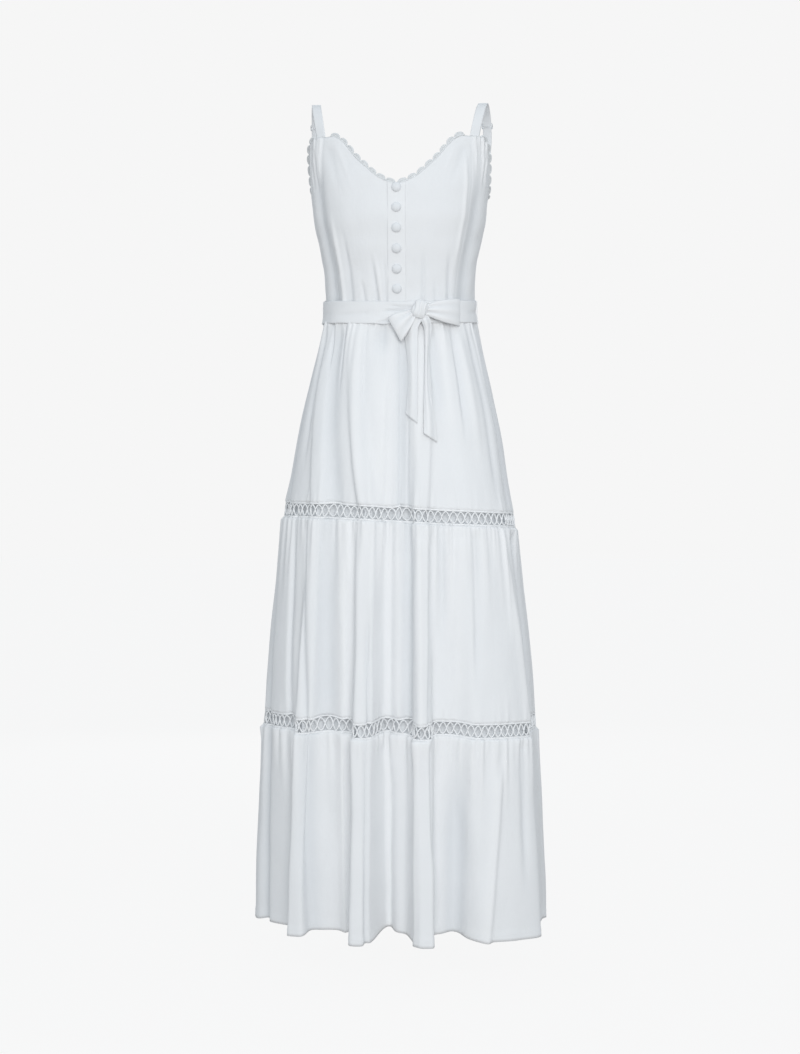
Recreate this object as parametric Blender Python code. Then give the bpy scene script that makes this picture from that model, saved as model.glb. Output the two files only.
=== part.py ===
"""A tiered maxi dress with crochet lace, built from the pieces its maker cuts and sews.

Metres, +Z up, the front towards -Y and +X to the right as seen from the front. The origin lies
midway between the undersides of the two shoulder straps, where the dress hangs on the shoulders.
Every cloth piece is one closed wall on a common surface, which two coordinates find:
  turn   the direction from the upright axis in degrees: 0 front, 90 right side, 180 back
  level  the height before the cloth leans, dips or drops there, see HANGS
"""

import math
from collections import namedtuple

import bmesh
import bpy
import numpy as np

# Driving dimensions

CLOTH = 0.0015
SEAM_GAP = 0.0003
WAIST = -0.342
BAND_1 = -0.676
BAND_2 = -1.0105
HEM = -1.336
BAND_HEIGHT = 0.022
LACE_PITCH = 0.016
LACE_HOLE = 0.0108
SIDE_SEAM = 90.0
CURVE_STEPS = 720
SHARP_ANGLE = math.radians(40)

# The cloth's level sections: half the width, the depths before and behind the axis, and
# how square the oval is (2 is an ellipse)
Section = namedtuple("Section", "level half_width front_depth back_depth squareness")
SECTIONS = [
    Section(-1.350, 0.2330, 0.148, 0.158, 2.5),
    Section(-1.260, 0.2310, 0.150, 0.160, 2.5),
    Section(-1.140, 0.2270, 0.151, 0.161, 2.5),
    Section(-1.030, 0.2200, 0.152, 0.160, 2.5),
    Section(-0.902, 0.2130, 0.150, 0.157, 2.5),
    Section(-0.783, 0.2000, 0.147, 0.153, 2.5),
    Section(-0.684, 0.1890, 0.143, 0.147, 2.5),
    Section(-0.625, 0.1795, 0.139, 0.142, 2.45),
    Section(-0.545, 0.1670, 0.131, 0.134, 2.4),
    Section(-0.466, 0.1505, 0.119, 0.123, 2.4),
    Section(-0.387, 0.1310, 0.102, 0.105, 2.4),
    Section(-0.342, 0.1215, 0.092, 0.090, 2.4),
    Section(-0.280, 0.1245, 0.098, 0.089, 2.45),
    Section(-0.235, 0.1325, 0.107, 0.093, 2.5),
    Section(-0.190, 0.1415, 0.113, 0.099, 2.6),
    Section(-0.149, 0.1455, 0.111, 0.101, 2.8),
    Section(-0.100, 0.1480, 0.103, 0.096, 3.0),
    Section(-0.060, 0.1500, 0.094, 0.088, 3.2),
]

# How the cloth hangs at a level: how far it leans down to the right, how far its front dips
# below its sides, what share of a fold's rise the cloth drops there, and how far the middle
# of the back hangs lower than the sides
Hang = namedtuple("Hang", "level lean dip drop sag_behind")
HANGS = [
    Hang(HEM, 0.004, 0.000, 0.22, 0.000),
    Hang(BAND_2, 0.004, 0.000, 0.20, 0.008),
    Hang(BAND_1 - BAND_HEIGHT / 2, 0.009, 0.000, 0.00, 0.024),
    Hang(BAND_1 + BAND_HEIGHT / 2, 0.009, 0.000, 0.00, 0.024),
    Hang(WAIST, 0.000, 0.010, 0.00, 0.000),
    Hang(-0.150, 0.000, 0.000, 0.00, 0.000),
]

# The hanging folds: turn at the waist and from lace band 1 down, half the width in degrees,
# how crisp the edges are, and how far the fold stands out at the three seams below the waist
Fold = namedtuple("Fold", "turn_waist turn_low spread crispness rise_band_1 rise_band_2 rise_hem")
FOLDS = [
    Fold(-84, -80, 7.0, 4, 0.002, 0.004, 0.006),
    Fold(-62, -45, 5.0, 6, 0.008, 0.022, 0.038),
    Fold(-38, -16, 5.6, 6, 0.012, 0.033, 0.055),
    Fold(-3, -5, 4.0, 4, -0.008, -0.012, -0.024),
    Fold(26, 14.5, 5.2, 6, 0.011, 0.031, 0.055),
    Fold(56, 52, 16.0, 12, 0.008, 0.022, 0.036),
    Fold(99, 98, 6.0, 4, 0.002, 0.006, 0.010),
    Fold(124, 120, 7.0, 6, 0.008, 0.024, 0.040),
    Fold(148, 145, 5.5, 6, 0.010, 0.028, 0.048),
    Fold(171, 170, 6.5, 6, 0.008, 0.024, 0.042),
    Fold(-165, -163, 5.5, 6, 0.011, 0.030, 0.050),
    Fold(-138, -137, 7.5, 6, 0.008, 0.024, 0.040),
    Fold(-114, -112, 5.5, 6, 0.006, 0.018, 0.030),
]

# The bodice's top edge from the V of the neck over the strap and round the armhole
EdgePoint = namedtuple("EdgePoint", "turn level")
TOP_EDGE = [
    EdgePoint(0, -0.149),
    EdgePoint(15, -0.136),
    EdgePoint(31, -0.108),
    EdgePoint(52, -0.066),
    EdgePoint(63, -0.066),
    EdgePoint(72, -0.078),
    EdgePoint(80, -0.099),
    EdgePoint(90, -0.134),
    EdgePoint(101, -0.152),
    EdgePoint(180, -0.153),
]

# The princess seam between front and side
PRINCESS_SEAM = [
    EdgePoint(54.0, WAIST),
    EdgePoint(53.5, -0.190),
    EdgePoint(57.5, -0.066),
]

# The skirt's tiers: levels of the two seams, columns and rows of wall in each half, and the
# gathers at the top, whose waves alternate from column to column and run out below.
# `crowding` over 1 sets the rows closer at the top.
Tier = namedtuple("Tier", "name top bottom columns rows crowding gather_depth gather_length")
TIERS = [
    Tier("upper", WAIST, BAND_1 + BAND_HEIGHT / 2, 36, 5, 1.8, 0.0008, 0.11),
    Tier("middle", BAND_1 - BAND_HEIGHT / 2, BAND_2 + BAND_HEIGHT / 2, 48, 3, 1.25, 0.0014, 0.15),
    Tier("lower", BAND_2 - BAND_HEIGHT / 2, HEM, 48, 4, 1.25, 0.0014, 0.13),
]
BODICE_GATHER_DEPTH = 0.0007
BODICE_GATHER_LENGTH = 0.070
STRAP_GATHER_DEPTH = 0.0008
STRAP_GATHER_LENGTH = 0.060
STRAP_GATHER_TOP = -0.066
STRAP_GATHER_TURN = 66.0
STRAP_GATHER_SPREAD = 9.0
GATHER_UNEVENNESS = 0.3
GATHER_DRIFT = 2.4
GATHER_FADE = 1.5

# Columns and rows of wall in the bodice's pieces
FRONT_GRID = (9, 8)
SIDE_GRID = (8, 7)
BACK_GRID = (18, 5)
PLACKET_GRID = (2, 6)
EDGE_SETTLING_STEPS = 6

PLACKET_HALF = 0.0150
PLACKET_PROUD = 0.0006
BUTTONS = 6
BUTTON_TOP = -0.1532
BUTTON_PITCH = 0.0302
BUTTON_RADIUS = 0.0076
BUTTON_HEIGHT = 0.0046
BUTTON_RIM = 0.28
BUTTON_GRID = (12, 6)

SCALLOP_RISE = 0.0044
SCALLOP_FULLNESS = 0.7
TRIM_BAND = 0.0016
NECK_SCALLOPS = 8
ARMHOLE_SCALLOPS = 7
TRIM_TURNS_NECK = (1.0, 52.5)
TRIM_TURNS_ARMHOLE = (63.5, 103.0)
SCALLOP_STEPS = 4
CORNER_CLEAR = 0.35

STRAP_WIDTH = 0.0145
SLIDER_WALL = 0.0014
SLIDER_HEIGHT = 0.0090

BELT_WIDTH = 0.036
BELT_STAND_OFF = 0.0027
BELT_COLUMNS = 48
BELT_LOOP_WIDTH = 0.004
BELT_LOOP_CLOTH = 0.0010
BELT_LOOP_OVERHANG = 0.0040
BELT_LOOP_BULGE = 0.0004
BELT_LOOP_SEAT = 0.0006

# The middle line of the right strap's inner face: how far out from the middle, how far before
# the axis, the height, and how many degrees its width is turned away from left to right
StrapPoint = namedtuple("StrapPoint", "out fore height twist")
STRAP_ROUTE = [
    StrapPoint(0.1240, 0.0722, -0.0657, 36),
    StrapPoint(0.1300, 0.0560, -0.0330, 22),
    StrapPoint(0.1355, 0.0300, -0.0080, 8),
    StrapPoint(0.1385, 0.0020, 0.0008, 0),
    StrapPoint(0.1420, -0.0270, -0.0110, 0),
    StrapPoint(0.1440, -0.0520, -0.0420, -6),
    StrapPoint(0.1400, -0.0650, -0.0900, -18),
    StrapPoint(0.1280, -0.0688, -0.1522, -34),
]
STRAP_STEPS = 16
SLIDER_STATION = 10

# The bow, tied to the right of the middle. The knot's radii run along the belt, out and up
KNOT_TURN = 21.5
KNOT_STAND_OFF = 0.0125
KNOT_HEIGHT = -0.3450
KNOT_RADII = (0.0135, 0.0078, 0.0125)
KNOT_GRID = (14, 8)
KNOT_FACING = 0.5

# Its loops and tails are routes of cloth: the turn, the distance out from the smooth oval of
# the waist and skirt, the height and the width there
RoutePoint = namedtuple("RoutePoint", "turn stand_off height width")
LOOP_RIGHT = [
    RoutePoint(28.5, 0.0150, -0.3440, 0.014),
    RoutePoint(34.0, 0.0185, -0.3465, 0.024),
    RoutePoint(41.0, 0.0195, -0.3510, 0.034),
    RoutePoint(48.5, 0.0170, -0.3540, 0.037),
    RoutePoint(50.6, 0.0140, -0.3545, 0.037),
    RoutePoint(48.5, 0.0112, -0.3540, 0.036),
    RoutePoint(39.0, 0.0098, -0.3500, 0.030),
    RoutePoint(28.8, 0.0080, -0.3450, 0.014),
]
LOOP_LEFT = [
    RoutePoint(13.6, 0.0150, -0.3515, 0.010),
    RoutePoint(10.0, 0.0180, -0.3610, 0.017),
    RoutePoint(5.0, 0.0190, -0.3750, 0.024),
    RoutePoint(-0.4, 0.0165, -0.3900, 0.025),
    RoutePoint(-1.8, 0.0135, -0.3940, 0.025),
    RoutePoint(-0.4, 0.0105, -0.3900, 0.024),
    RoutePoint(6.0, 0.0104, -0.3705, 0.017),
    RoutePoint(13.2, 0.0110, -0.3515, 0.009),
]
TAIL_LONG = [
    RoutePoint(24.4, 0.0125, -0.3580, 0.010),
    RoutePoint(25.0, 0.0100, -0.3800, 0.011),
    RoutePoint(24.4, 0.0090, -0.4200, 0.012),
    RoutePoint(23.4, 0.0090, -0.4700, 0.016),
    RoutePoint(22.4, 0.0095, -0.5200, 0.019),
    RoutePoint(22.0, 0.0105, -0.5580, 0.021),
]
TAIL_SHORT = [
    RoutePoint(17.6, 0.0095, -0.3572, 0.009),
    RoutePoint(16.6, 0.0074, -0.3640, 0.010),
    RoutePoint(14.6, 0.0070, -0.3750, 0.013),
    RoutePoint(12.6, 0.0055, -0.4000, 0.017),
    RoutePoint(12.6, 0.0065, -0.4700, 0.019),
    RoutePoint(12.8, 0.0080, -0.5270, 0.019),
]
TAIL_SLANT = 0.016
BOW_STEPS = 14
BOW_CLOTH = 0.0014

Finish = namedtuple("Finish", "colour roughness metallic")
FINISHES = {
    "cloth": Finish((0.72, 0.76, 0.79, 1.0), 0.85, 0.0),
    "lace": Finish((0.74, 0.77, 0.80, 1.0), 0.9, 0.0),
    "button_cloth": Finish((0.66, 0.70, 0.73, 1.0), 0.8, 0.0),
    "slider_metal": Finish((0.62, 0.64, 0.66, 1.0), 0.3, 1.0),
}


# Curves through tables


def smooth_through(places, values, at):
    """The values at `at`, on a smooth curve through the rows that never overshoots them."""
    places = np.asarray(places, float)
    values = np.asarray(values, float)
    steps = np.diff(places)
    slopes = np.diff(values) / steps
    tangents = np.concatenate(([slopes[0]], np.zeros(len(places) - 2), [slopes[-1]]))
    for i in range(1, len(places) - 1):
        before, after = slopes[i - 1], slopes[i]
        if before * after > 0:
            tangents[i] = 2 * before * after / (before + after)
    row = np.clip(np.searchsorted(places, at) - 1, 0, len(steps) - 1)
    t = np.clip((at - places[row]) / steps[row], 0, 1)
    return (
        values[row] * (1 + 2 * t) * (1 - t) ** 2
        + values[row + 1] * t * t * (3 - 2 * t)
        + steps[row] * t * (1 - t) * (tangents[row] * (1 - t) - tangents[row + 1] * t)
    )


def column(table, name):
    return [getattr(row, name) for row in table]


def at_level(table, name, level):
    return smooth_through(column(table, "level"), column(table, name), level)


def top_edge(turn):
    return smooth_through(column(TOP_EDGE, "turn"), column(TOP_EDGE, "level"), np.abs(turn))


def princess_turn(level):
    return at_level(PRINCESS_SEAM, "turn", level)


# The common surface


def oval_reach(turn, level):
    """Distance from the axis to the cloth without its folds."""
    angle = np.radians(turn)
    half_width = at_level(SECTIONS, "half_width", level)
    front = at_level(SECTIONS, "front_depth", level)
    back = at_level(SECTIONS, "back_depth", level)
    power = at_level(SECTIONS, "squareness", level)
    depth = np.where(np.cos(angle) > 0, front, back)
    across = np.abs(np.sin(angle) / half_width) ** power
    ahead = np.abs(np.cos(angle) / depth) ** power
    return (across + ahead) ** (-1 / power)


def fold_rise(turn, level):
    """How far the hanging folds stand out from the oval."""
    rise = np.zeros_like(turn + level)
    for fold in FOLDS:
        middle = np.interp(level, [BAND_1, WAIST], [fold.turn_low, fold.turn_waist])
        away = (turn - middle + 180) % 360 - 180
        height = smooth_through(
            [HEM, BAND_2, BAND_1, WAIST],
            [fold.rise_hem, fold.rise_band_2, fold.rise_band_1, 0.0],
            level,
        )
        rise = rise + height / (1 + np.abs(away / fold.spread) ** fold.crispness)
    return rise


def cloth_point(turn, level, out=0.0):
    """Points of the cloth's outer face, moved out along the level by `out`."""
    turn, level = np.broadcast_arrays(np.asarray(turn, float), np.asarray(level, float))
    rise = fold_rise(turn, level)
    reach = oval_reach(turn, level) + rise + out
    angle = np.radians(turn)
    lean = at_level(HANGS, "lean", level)
    dip = at_level(HANGS, "dip", level)
    drop = at_level(HANGS, "drop", level)
    sag = at_level(HANGS, "sag_behind", level) * np.clip(-np.cos(angle), 0, 1) ** 2
    height = level - lean * np.sin(angle) - dip * np.cos(angle) - drop * rise - sag
    return np.stack([reach * np.sin(angle), -reach * np.cos(angle), height], axis=-1)


def level_normals(points):
    """Outward normals, in the level plane, of a row of points that runs to the right."""
    along = np.gradient(points[:, :2], axis=0)
    normals = np.stack([along[:, 1], -along[:, 0], np.zeros(len(points))], axis=-1)
    return normals / np.linalg.norm(normals, axis=1)[:, None]


def cloth_row(turn_from, turn_to, level):
    """A finely stepped row of cloth with its normals and each point's share of the length."""
    points = cloth_point(np.linspace(turn_from, turn_to, CURVE_STEPS), level)
    steps = np.linalg.norm(np.diff(points, axis=0), axis=1)
    length = np.concatenate(([0.0], np.cumsum(steps)))
    return points, level_normals(points), length / length[-1]


def read_row(row, shares):
    """Points and normals of a cloth_row at the given shares of its length."""
    points, normals, share = row
    place = np.stack([np.interp(shares, share, points[:, i]) for i in range(3)], axis=-1)
    normal = np.stack([np.interp(shares, share, normals[:, i]) for i in range(3)], axis=-1)
    return place, normal / np.linalg.norm(normal, axis=1)[:, None]


def gap_turn(level):
    """Half a seam gap, as a turn at the middle of the front, where the axis is near."""
    return np.degrees(SEAM_GAP / 2 / oval_reach(0.0, level))


def half_row(side, level):
    """The cloth_row of a front or back half, clear of the side seams by half a gap."""
    middle = 0 if side == "front" else 180
    reach = SIDE_SEAM - gap_turn(level)
    return cloth_row(middle - reach, middle + reach, level)


def out_of(across, along):
    """Unit vectors out of a surface whose width runs to the right and length upwards."""
    out = np.cross(across, along)
    return out / np.linalg.norm(out, axis=-1, keepdims=True)


# Meshes


def material(name):
    made = bpy.data.materials.get(name)
    if made:
        return made
    finish = FINISHES[name]
    made = bpy.data.materials.new(name)
    made.use_nodes = True
    shader = made.node_tree.nodes["Principled BSDF"]
    shader.inputs["Base Color"].default_value = finish.colour
    shader.inputs["Roughness"].default_value = finish.roughness
    shader.inputs["Metallic"].default_value = finish.metallic
    return made


def add_object(name, points, faces, material_name):
    mesh = bpy.data.meshes.new(name)
    mesh.from_pydata([tuple(map(float, point)) for point in points], [], faces)
    mesh.materials.append(material(material_name))
    mesh.shade_smooth()
    mesh.set_sharp_from_angle(angle=SHARP_ANGLE)
    bpy.context.collection.objects.link(bpy.data.objects.new(name, mesh))


def thick_sheet(name, outer, inner, faces, material_name):
    """A closed wall: the outer faces, the same faces inside, and a rim along every open edge."""
    count = len(outer)
    edges = {(face[i], face[(i + 1) % 3]) for face in faces for i in range(3)}
    rims = []
    for a, b in sorted(edges):
        if (b, a) not in edges:
            rims += [(b, a, a + count), (b, a + count, b + count)]
    inside = [(a + count, c + count, b + count) for a, b, c in faces]
    points = np.concatenate([outer, inner])
    add_object(name, points, list(faces) + inside + rims, material_name)


def grid_faces(rows, columns, closed=False):
    """Triangles of a grid whose rows run to the right and are numbered upwards."""
    faces = []
    width = columns if closed else columns + 1
    for row in range(rows):
        for i in range(columns):
            right = (i + 1) % width
            low_left, low_right = row * width + i, row * width + right
            faces.append((low_left, low_right, low_right + width))
            faces.append((low_left, low_right + width, low_left + width))
    return faces


def ball(name, grid, place, material_name):
    """A round solid: `place` finds each point from its place on a unit ball."""
    shape = bmesh.new()
    bmesh.ops.create_uvsphere(shape, u_segments=grid[0], v_segments=grid[1], radius=1.0)
    points = [place(*vert.co) for vert in shape.verts]
    faces = [[vert.index for vert in face.verts] for face in shape.faces]
    shape.free()
    add_object(name, points, faces, material_name)


def waves(columns):
    """Gathers: a wave out and in from column to column, uneven, and flat at both seams."""
    steps = np.arange(columns + 1)
    uneven = 1 + GATHER_UNEVENNESS * np.sin(GATHER_DRIFT * steps)
    wave = np.where(steps % 2 == 0, 1.0, -1.0) * uneven
    wave[0] = wave[-1] = 0.0
    return wave


def running_out(distance, length):
    """1 at the seam, falling smoothly to 0 at `length` from it."""
    return np.clip(1 - distance / length, 0, 1) ** GATHER_FADE


# Skirt


def skirt_tier(tier, side):
    """One half of a tier, gathered into the seam above it."""
    shares = np.linspace(0, 1, tier.columns + 1)
    outer, inner = [], []
    top, bottom = tier.top - SEAM_GAP / 2, tier.bottom + SEAM_GAP / 2
    for down in np.linspace(1, 0, tier.rows + 1) ** tier.crowding:
        level = top + (bottom - top) * down
        place, normal = read_row(half_row(side, level), shares)
        gather = tier.gather_depth * running_out(top - level, tier.gather_length)
        place = place + normal * (gather * waves(tier.columns))[:, None]
        outer.append(place)
        inner.append(place - normal * CLOTH)
    faces = grid_faces(tier.rows, tier.columns)
    name = f"skirt_{tier.name}_{side}"
    thick_sheet(name, np.concatenate(outer), np.concatenate(inner), faces, "cloth")


def lace_band(number, middle, rings, side):
    """Crochet insertion: a row of square cells, each with a six-sided ring hole cut through."""
    half = BAND_HEIGHT / 2 - SEAM_GAP / 2
    reach = LACE_HOLE / 2
    rise = reach * math.sin(math.radians(60))
    cell = 1 / rings
    tight = reach / LACE_PITCH * cell
    corners = np.linspace(0, 1, rings + 1)
    middles = (np.arange(rings) + 0.5) * cell
    pairs = np.stack([middles - tight / 2, middles + tight / 2], axis=-1).ravel()
    wide_pairs = np.stack([middles - tight, middles + tight], axis=-1).ravel()
    rows = [
        (middle + half, corners),
        (middle + rise, pairs),
        (middle, wide_pairs),
        (middle - rise, pairs),
        (middle - half, corners),
    ]
    outer, inner, starts = [], [], []
    for level, shares in rows:
        place, normal = read_row(half_row(side, level), shares)
        starts.append(sum(map(len, outer)))
        outer.append(place)
        inner.append(place - normal * CLOTH)
    faces = []
    for i in range(rings):
        top_left, top_right = starts[0] + i, starts[0] + i + 1
        bottom_left, bottom_right = starts[4] + i, starts[4] + i + 1
        hole_top_left, hole_top_right = starts[1] + 2 * i, starts[1] + 2 * i + 1
        hole_left, hole_right = starts[2] + 2 * i, starts[2] + 2 * i + 1
        hole_low_left, hole_low_right = starts[3] + 2 * i, starts[3] + 2 * i + 1
        faces += [
            (hole_right, top_right, hole_top_right),
            (top_right, top_left, hole_top_right),
            (top_left, hole_top_left, hole_top_right),
            (top_left, hole_left, hole_top_left),
            (top_left, bottom_left, hole_left),
            (bottom_left, hole_low_left, hole_left),
            (bottom_left, bottom_right, hole_low_left),
            (bottom_right, hole_low_right, hole_low_left),
            (bottom_right, hole_right, hole_low_right),
            (bottom_right, top_right, hole_right),
        ]
    name = f"lace_band_{number}_{side}"
    thick_sheet(name, np.concatenate(outer), np.concatenate(inner), faces, "lace")


def skirt():
    """Three tiers with a lace band between each two, in a front and a back half."""
    for side in ("front", "back"):
        for tier in TIERS:
            skirt_tier(tier, side)
        lace_band(1, BAND_1, TIERS[0].columns, side)
        lace_band(2, BAND_2, TIERS[2].columns, side)


# Bodice


def bodice_panel(name, edge_from, edge_to, grid, proud=0.0):
    """A panel between two seams, each a function that gives its turn at a level. Returns the
    turns, points and normals of its top edge."""
    columns, rows = grid
    across = np.linspace(0, 1, columns + 1)
    wave = waves(columns)
    outer, inner = [], []
    for up in np.linspace(0, 1, rows + 1):
        level = np.full(columns + 1, WAIST)
        for _ in range(EDGE_SETTLING_STEPS):
            turn = edge_from(level) * (1 - across) + edge_to(level) * across
            level = WAIST + SEAM_GAP / 2 + (top_edge(turn) - WAIST - SEAM_GAP / 2) * up
        from_waist = running_out(level - WAIST, BODICE_GATHER_LENGTH)
        under_strap = running_out(np.abs(STRAP_GATHER_TOP - level), STRAP_GATHER_LENGTH)
        from_strap = np.abs(np.abs(turn) - STRAP_GATHER_TURN)
        near_strap = np.clip(1 - from_strap / STRAP_GATHER_SPREAD, 0, 1)
        gather = BODICE_GATHER_DEPTH * from_waist + STRAP_GATHER_DEPTH * under_strap * near_strap
        place = cloth_point(turn, level)
        normal = level_normals(cloth_point(turn, level.mean()))
        place = place + normal * (proud + gather * wave)[:, None]
        outer.append(place)
        inner.append(place - normal * (CLOTH + proud))
    faces = grid_faces(rows, columns)
    thick_sheet(name, np.concatenate(outer), np.concatenate(inner), faces, "cloth")
    return turn, place, normal


def placket_turn(level):
    """The turn of the placket's right edge."""
    front = at_level(SECTIONS, "front_depth", level)
    return np.degrees(np.arctan(PLACKET_HALF / front))


def bodice():
    """The five panels and the placket; returns the top edge of each by name."""
    tops = {}
    for name, way in (("right", 1), ("left", -1)):
        front_edges = [
            lambda level, way=way: way * (placket_turn(level) + gap_turn(level)),
            lambda level, way=way: way * (princess_turn(level) - gap_turn(level)),
        ]
        side_edges = [
            lambda level, way=way: way * (princess_turn(level) + gap_turn(level)),
            lambda level, way=way: way * (SIDE_SEAM - gap_turn(level)),
        ]
        for part, edges, grid in (
            (f"front_{name}", front_edges, FRONT_GRID),
            (f"side_{name}", side_edges, SIDE_GRID),
        ):
            tops[part] = bodice_panel(f"bodice_{part}", *edges[::way], grid)
    tops["back"] = bodice_panel(
        "bodice_back",
        lambda level: SIDE_SEAM + gap_turn(level),
        lambda level: 360 - SIDE_SEAM - gap_turn(level),
        BACK_GRID,
    )
    tops["placket"] = bodice_panel(
        "button_placket",
        lambda level: -placket_turn(level),
        placket_turn,
        PLACKET_GRID,
        proud=PLACKET_PROUD,
    )
    return tops


def button(number, level):
    """A covered button on the middle of the placket, domed before its rim."""
    middle = cloth_point(0.0, level)
    right = np.array([1.0, 0.0, 0.0])
    climb = cloth_point(0.0, level + BUTTON_RADIUS) - cloth_point(0.0, level - BUTTON_RADIUS)
    out = out_of(right, climb)
    up = np.cross(out, right)
    back = middle + out * (PLACKET_PROUD + SEAM_GAP)

    def place(x, y, z):
        depth = BUTTON_RIM + z * (1 - BUTTON_RIM if z > 0 else BUTTON_RIM)
        return back + (right * x + up * y) * BUTTON_RADIUS + out * depth * BUTTON_HEIGHT

    ball(f"button_{number}", BUTTON_GRID, place, "button_cloth")


def buttons():
    for i in range(BUTTONS):
        button(i + 1, BUTTON_TOP - i * BUTTON_PITCH)


# Lace edging


def edging(name, tops, turns, scallops, way):
    """Scalloped crochet along the top edges of some panels, one scallop after another."""
    turn, place, normal = (np.concatenate(parts) for parts in zip(*tops))
    turn = np.where(turn > 180, turn - 360, turn) * way
    order = np.argsort(turn)
    turn, place, normal = turn[order], place[order], normal[order]
    fine = np.linspace(*turns, CURVE_STEPS)
    line = np.stack([np.interp(fine, turn, place[:, i]) for i in range(3)], axis=-1)
    run = np.concatenate(([0.0], np.cumsum(np.linalg.norm(np.diff(line, axis=0), axis=1))))
    even = np.interp(np.linspace(0, run[-1], scallops * SCALLOP_STEPS + 1), run, fine)
    corners = turn[(turn > turns[0] + CORNER_CLEAR) & (turn < turns[1] - CORNER_CLEAR)]
    clear = np.abs(even[:, None] - corners[None, :]).min(axis=1) > CORNER_CLEAR
    at = np.union1d(even[clear], corners)
    edge = np.stack([np.interp(at, turn, place[:, i]) for i in range(3)], axis=-1)
    out = np.stack([np.interp(at, turn, normal[:, i]) for i in range(3)], axis=-1)
    out = out / np.linalg.norm(out, axis=1)[:, None]
    away = np.cross(out, np.gradient(edge, axis=0)) * way
    away = away / np.linalg.norm(away, axis=1)[:, None]
    along = np.interp(at, fine, run) / run[-1] * scallops
    rise = TRIM_BAND + SCALLOP_RISE * np.abs(np.sin(math.pi * along)) ** SCALLOP_FULLNESS
    low = edge + away * SEAM_GAP
    high = low + away * rise[:, None]
    outer = np.concatenate([low[::way], high[::way]])
    inner = np.concatenate([(low - out * CLOTH)[::way], (high - out * CLOTH)[::way]])
    thick_sheet(name, outer, inner, grid_faces(1, len(at) - 1), "lace")


def edgings(tops):
    """The neckline's and the armholes' edging, on the pieces whose top edges it follows."""
    for name, way in (("right", 1), ("left", -1)):
        neck = (tops["placket"], tops[f"front_{name}"])
        edging(f"neck_trim_{name}", neck, TRIM_TURNS_NECK, NECK_SCALLOPS, way)
        armhole = (tops[f"side_{name}"], tops["back"])
        edging(f"armhole_trim_{name}", armhole, TRIM_TURNS_ARMHOLE, ARMHOLE_SCALLOPS, way)


# Straps, belt and bow, all ribbons of cloth


def ribbon(name, centres, across, widths, wall, material_name, slant=0.0):
    """Cloth along a route in the middle of its outer face: `across` runs over its width, and
    `slant` is how much further the right edge of its last end runs than the left one."""
    along = np.gradient(centres, axis=0)
    out = out_of(across, along)
    left = centres - across * widths[:, None] / 2
    right = centres + across * widths[:, None] / 2
    fall = along / np.linalg.norm(along, axis=1)[:, None]
    left[-1] = left[-1] - fall[-1] * slant / 2
    right[-1] = right[-1] + fall[-1] * slant / 2
    outer = np.stack([left, right], axis=1).reshape(-1, 3)
    inner = outer - np.repeat(out, 2, axis=0) * wall
    faces = grid_faces(len(centres) - 1, 1)
    thick_sheet(name, outer, inner, faces, material_name)


def read_route(route, steps):
    """Each column of a route's table, read smoothly at even steps along its rows."""
    rows = np.linspace(0, len(route) - 1, steps + 1)
    order = range(len(route))
    return {name: smooth_through(order, column(route, name), rows) for name in route[0]._fields}


def strap_stations(way):
    """Points along a strap's inner face, and the vectors across it."""
    read = read_route(STRAP_ROUTE, STRAP_STEPS)
    centres = np.stack([read["out"] * way, -read["fore"], read["height"]], axis=-1)
    twist = np.radians(read["twist"])
    across = np.stack([np.cos(twist), np.sin(twist) * way, np.zeros_like(twist)], axis=-1)
    return centres, across


def straps():
    """Two straps over the shoulders, each with its slider on the part behind."""
    for name, way in (("right", 1), ("left", -1)):
        centres, across = strap_stations(way)
        widths = np.full(len(centres), STRAP_WIDTH)
        outer = centres + out_of(across, np.gradient(centres, axis=0)) * CLOTH
        ribbon(f"strap_{name}", outer, across, widths, CLOTH, "cloth")
        here, after = centres[SLIDER_STATION : SLIDER_STATION + 2]
        slider(f"slider_{name}", (here + after) / 2, across[SLIDER_STATION], after - here)


def slider(name, middle, across, along):
    """A flat rectangular ring round the strap."""
    along = along / np.linalg.norm(along)
    out = out_of(across, along)
    across = np.cross(along, out)
    middle = middle + out * CLOTH / 2
    points = []
    for grow in (SEAM_GAP, SEAM_GAP + SLIDER_WALL):
        wide = STRAP_WIDTH / 2 + grow
        deep = CLOTH / 2 + grow
        for end in (-SLIDER_HEIGHT / 2, SLIDER_HEIGHT / 2):
            for x, y in ((-wide, -deep), (wide, -deep), (wide, deep), (-wide, deep)):
                points.append(middle + across * x + out * y + along * end)
    faces = []
    for i in range(4):
        j = (i + 1) % 4
        faces.append((i, j, j + 4, i + 4))
        faces.append((j + 8, i + 8, i + 12, j + 12))
        faces.append((j, i, i + 8, j + 8))
        faces.append((i + 4, j + 4, j + 12, i + 12))
    add_object(name, points, faces, "slider_metal")


def belt_point(turn, level, out):
    """A point outside the waist, on the smooth oval that the belt lies on."""
    angle = np.radians(turn)
    reach = oval_reach(turn, level) + out
    height = level - at_level(HANGS, "dip", WAIST) * np.cos(angle)
    return np.stack([reach * np.sin(angle), -reach * np.cos(angle), height], axis=-1)


def belt():
    """A closed ring of cloth round the waist."""
    turns = np.arange(BELT_COLUMNS) * 360 / BELT_COLUMNS
    levels = [WAIST - BELT_WIDTH / 2, WAIST, WAIST + BELT_WIDTH / 2]
    outer = [belt_point(turns, np.full(BELT_COLUMNS, z), BELT_STAND_OFF + CLOTH) for z in levels]
    inner = [belt_point(turns, np.full(BELT_COLUMNS, z), BELT_STAND_OFF) for z in levels]
    faces = grid_faces(2, BELT_COLUMNS, closed=True)
    thick_sheet("belt", np.concatenate(outer), np.concatenate(inner), faces, "cloth")


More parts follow.
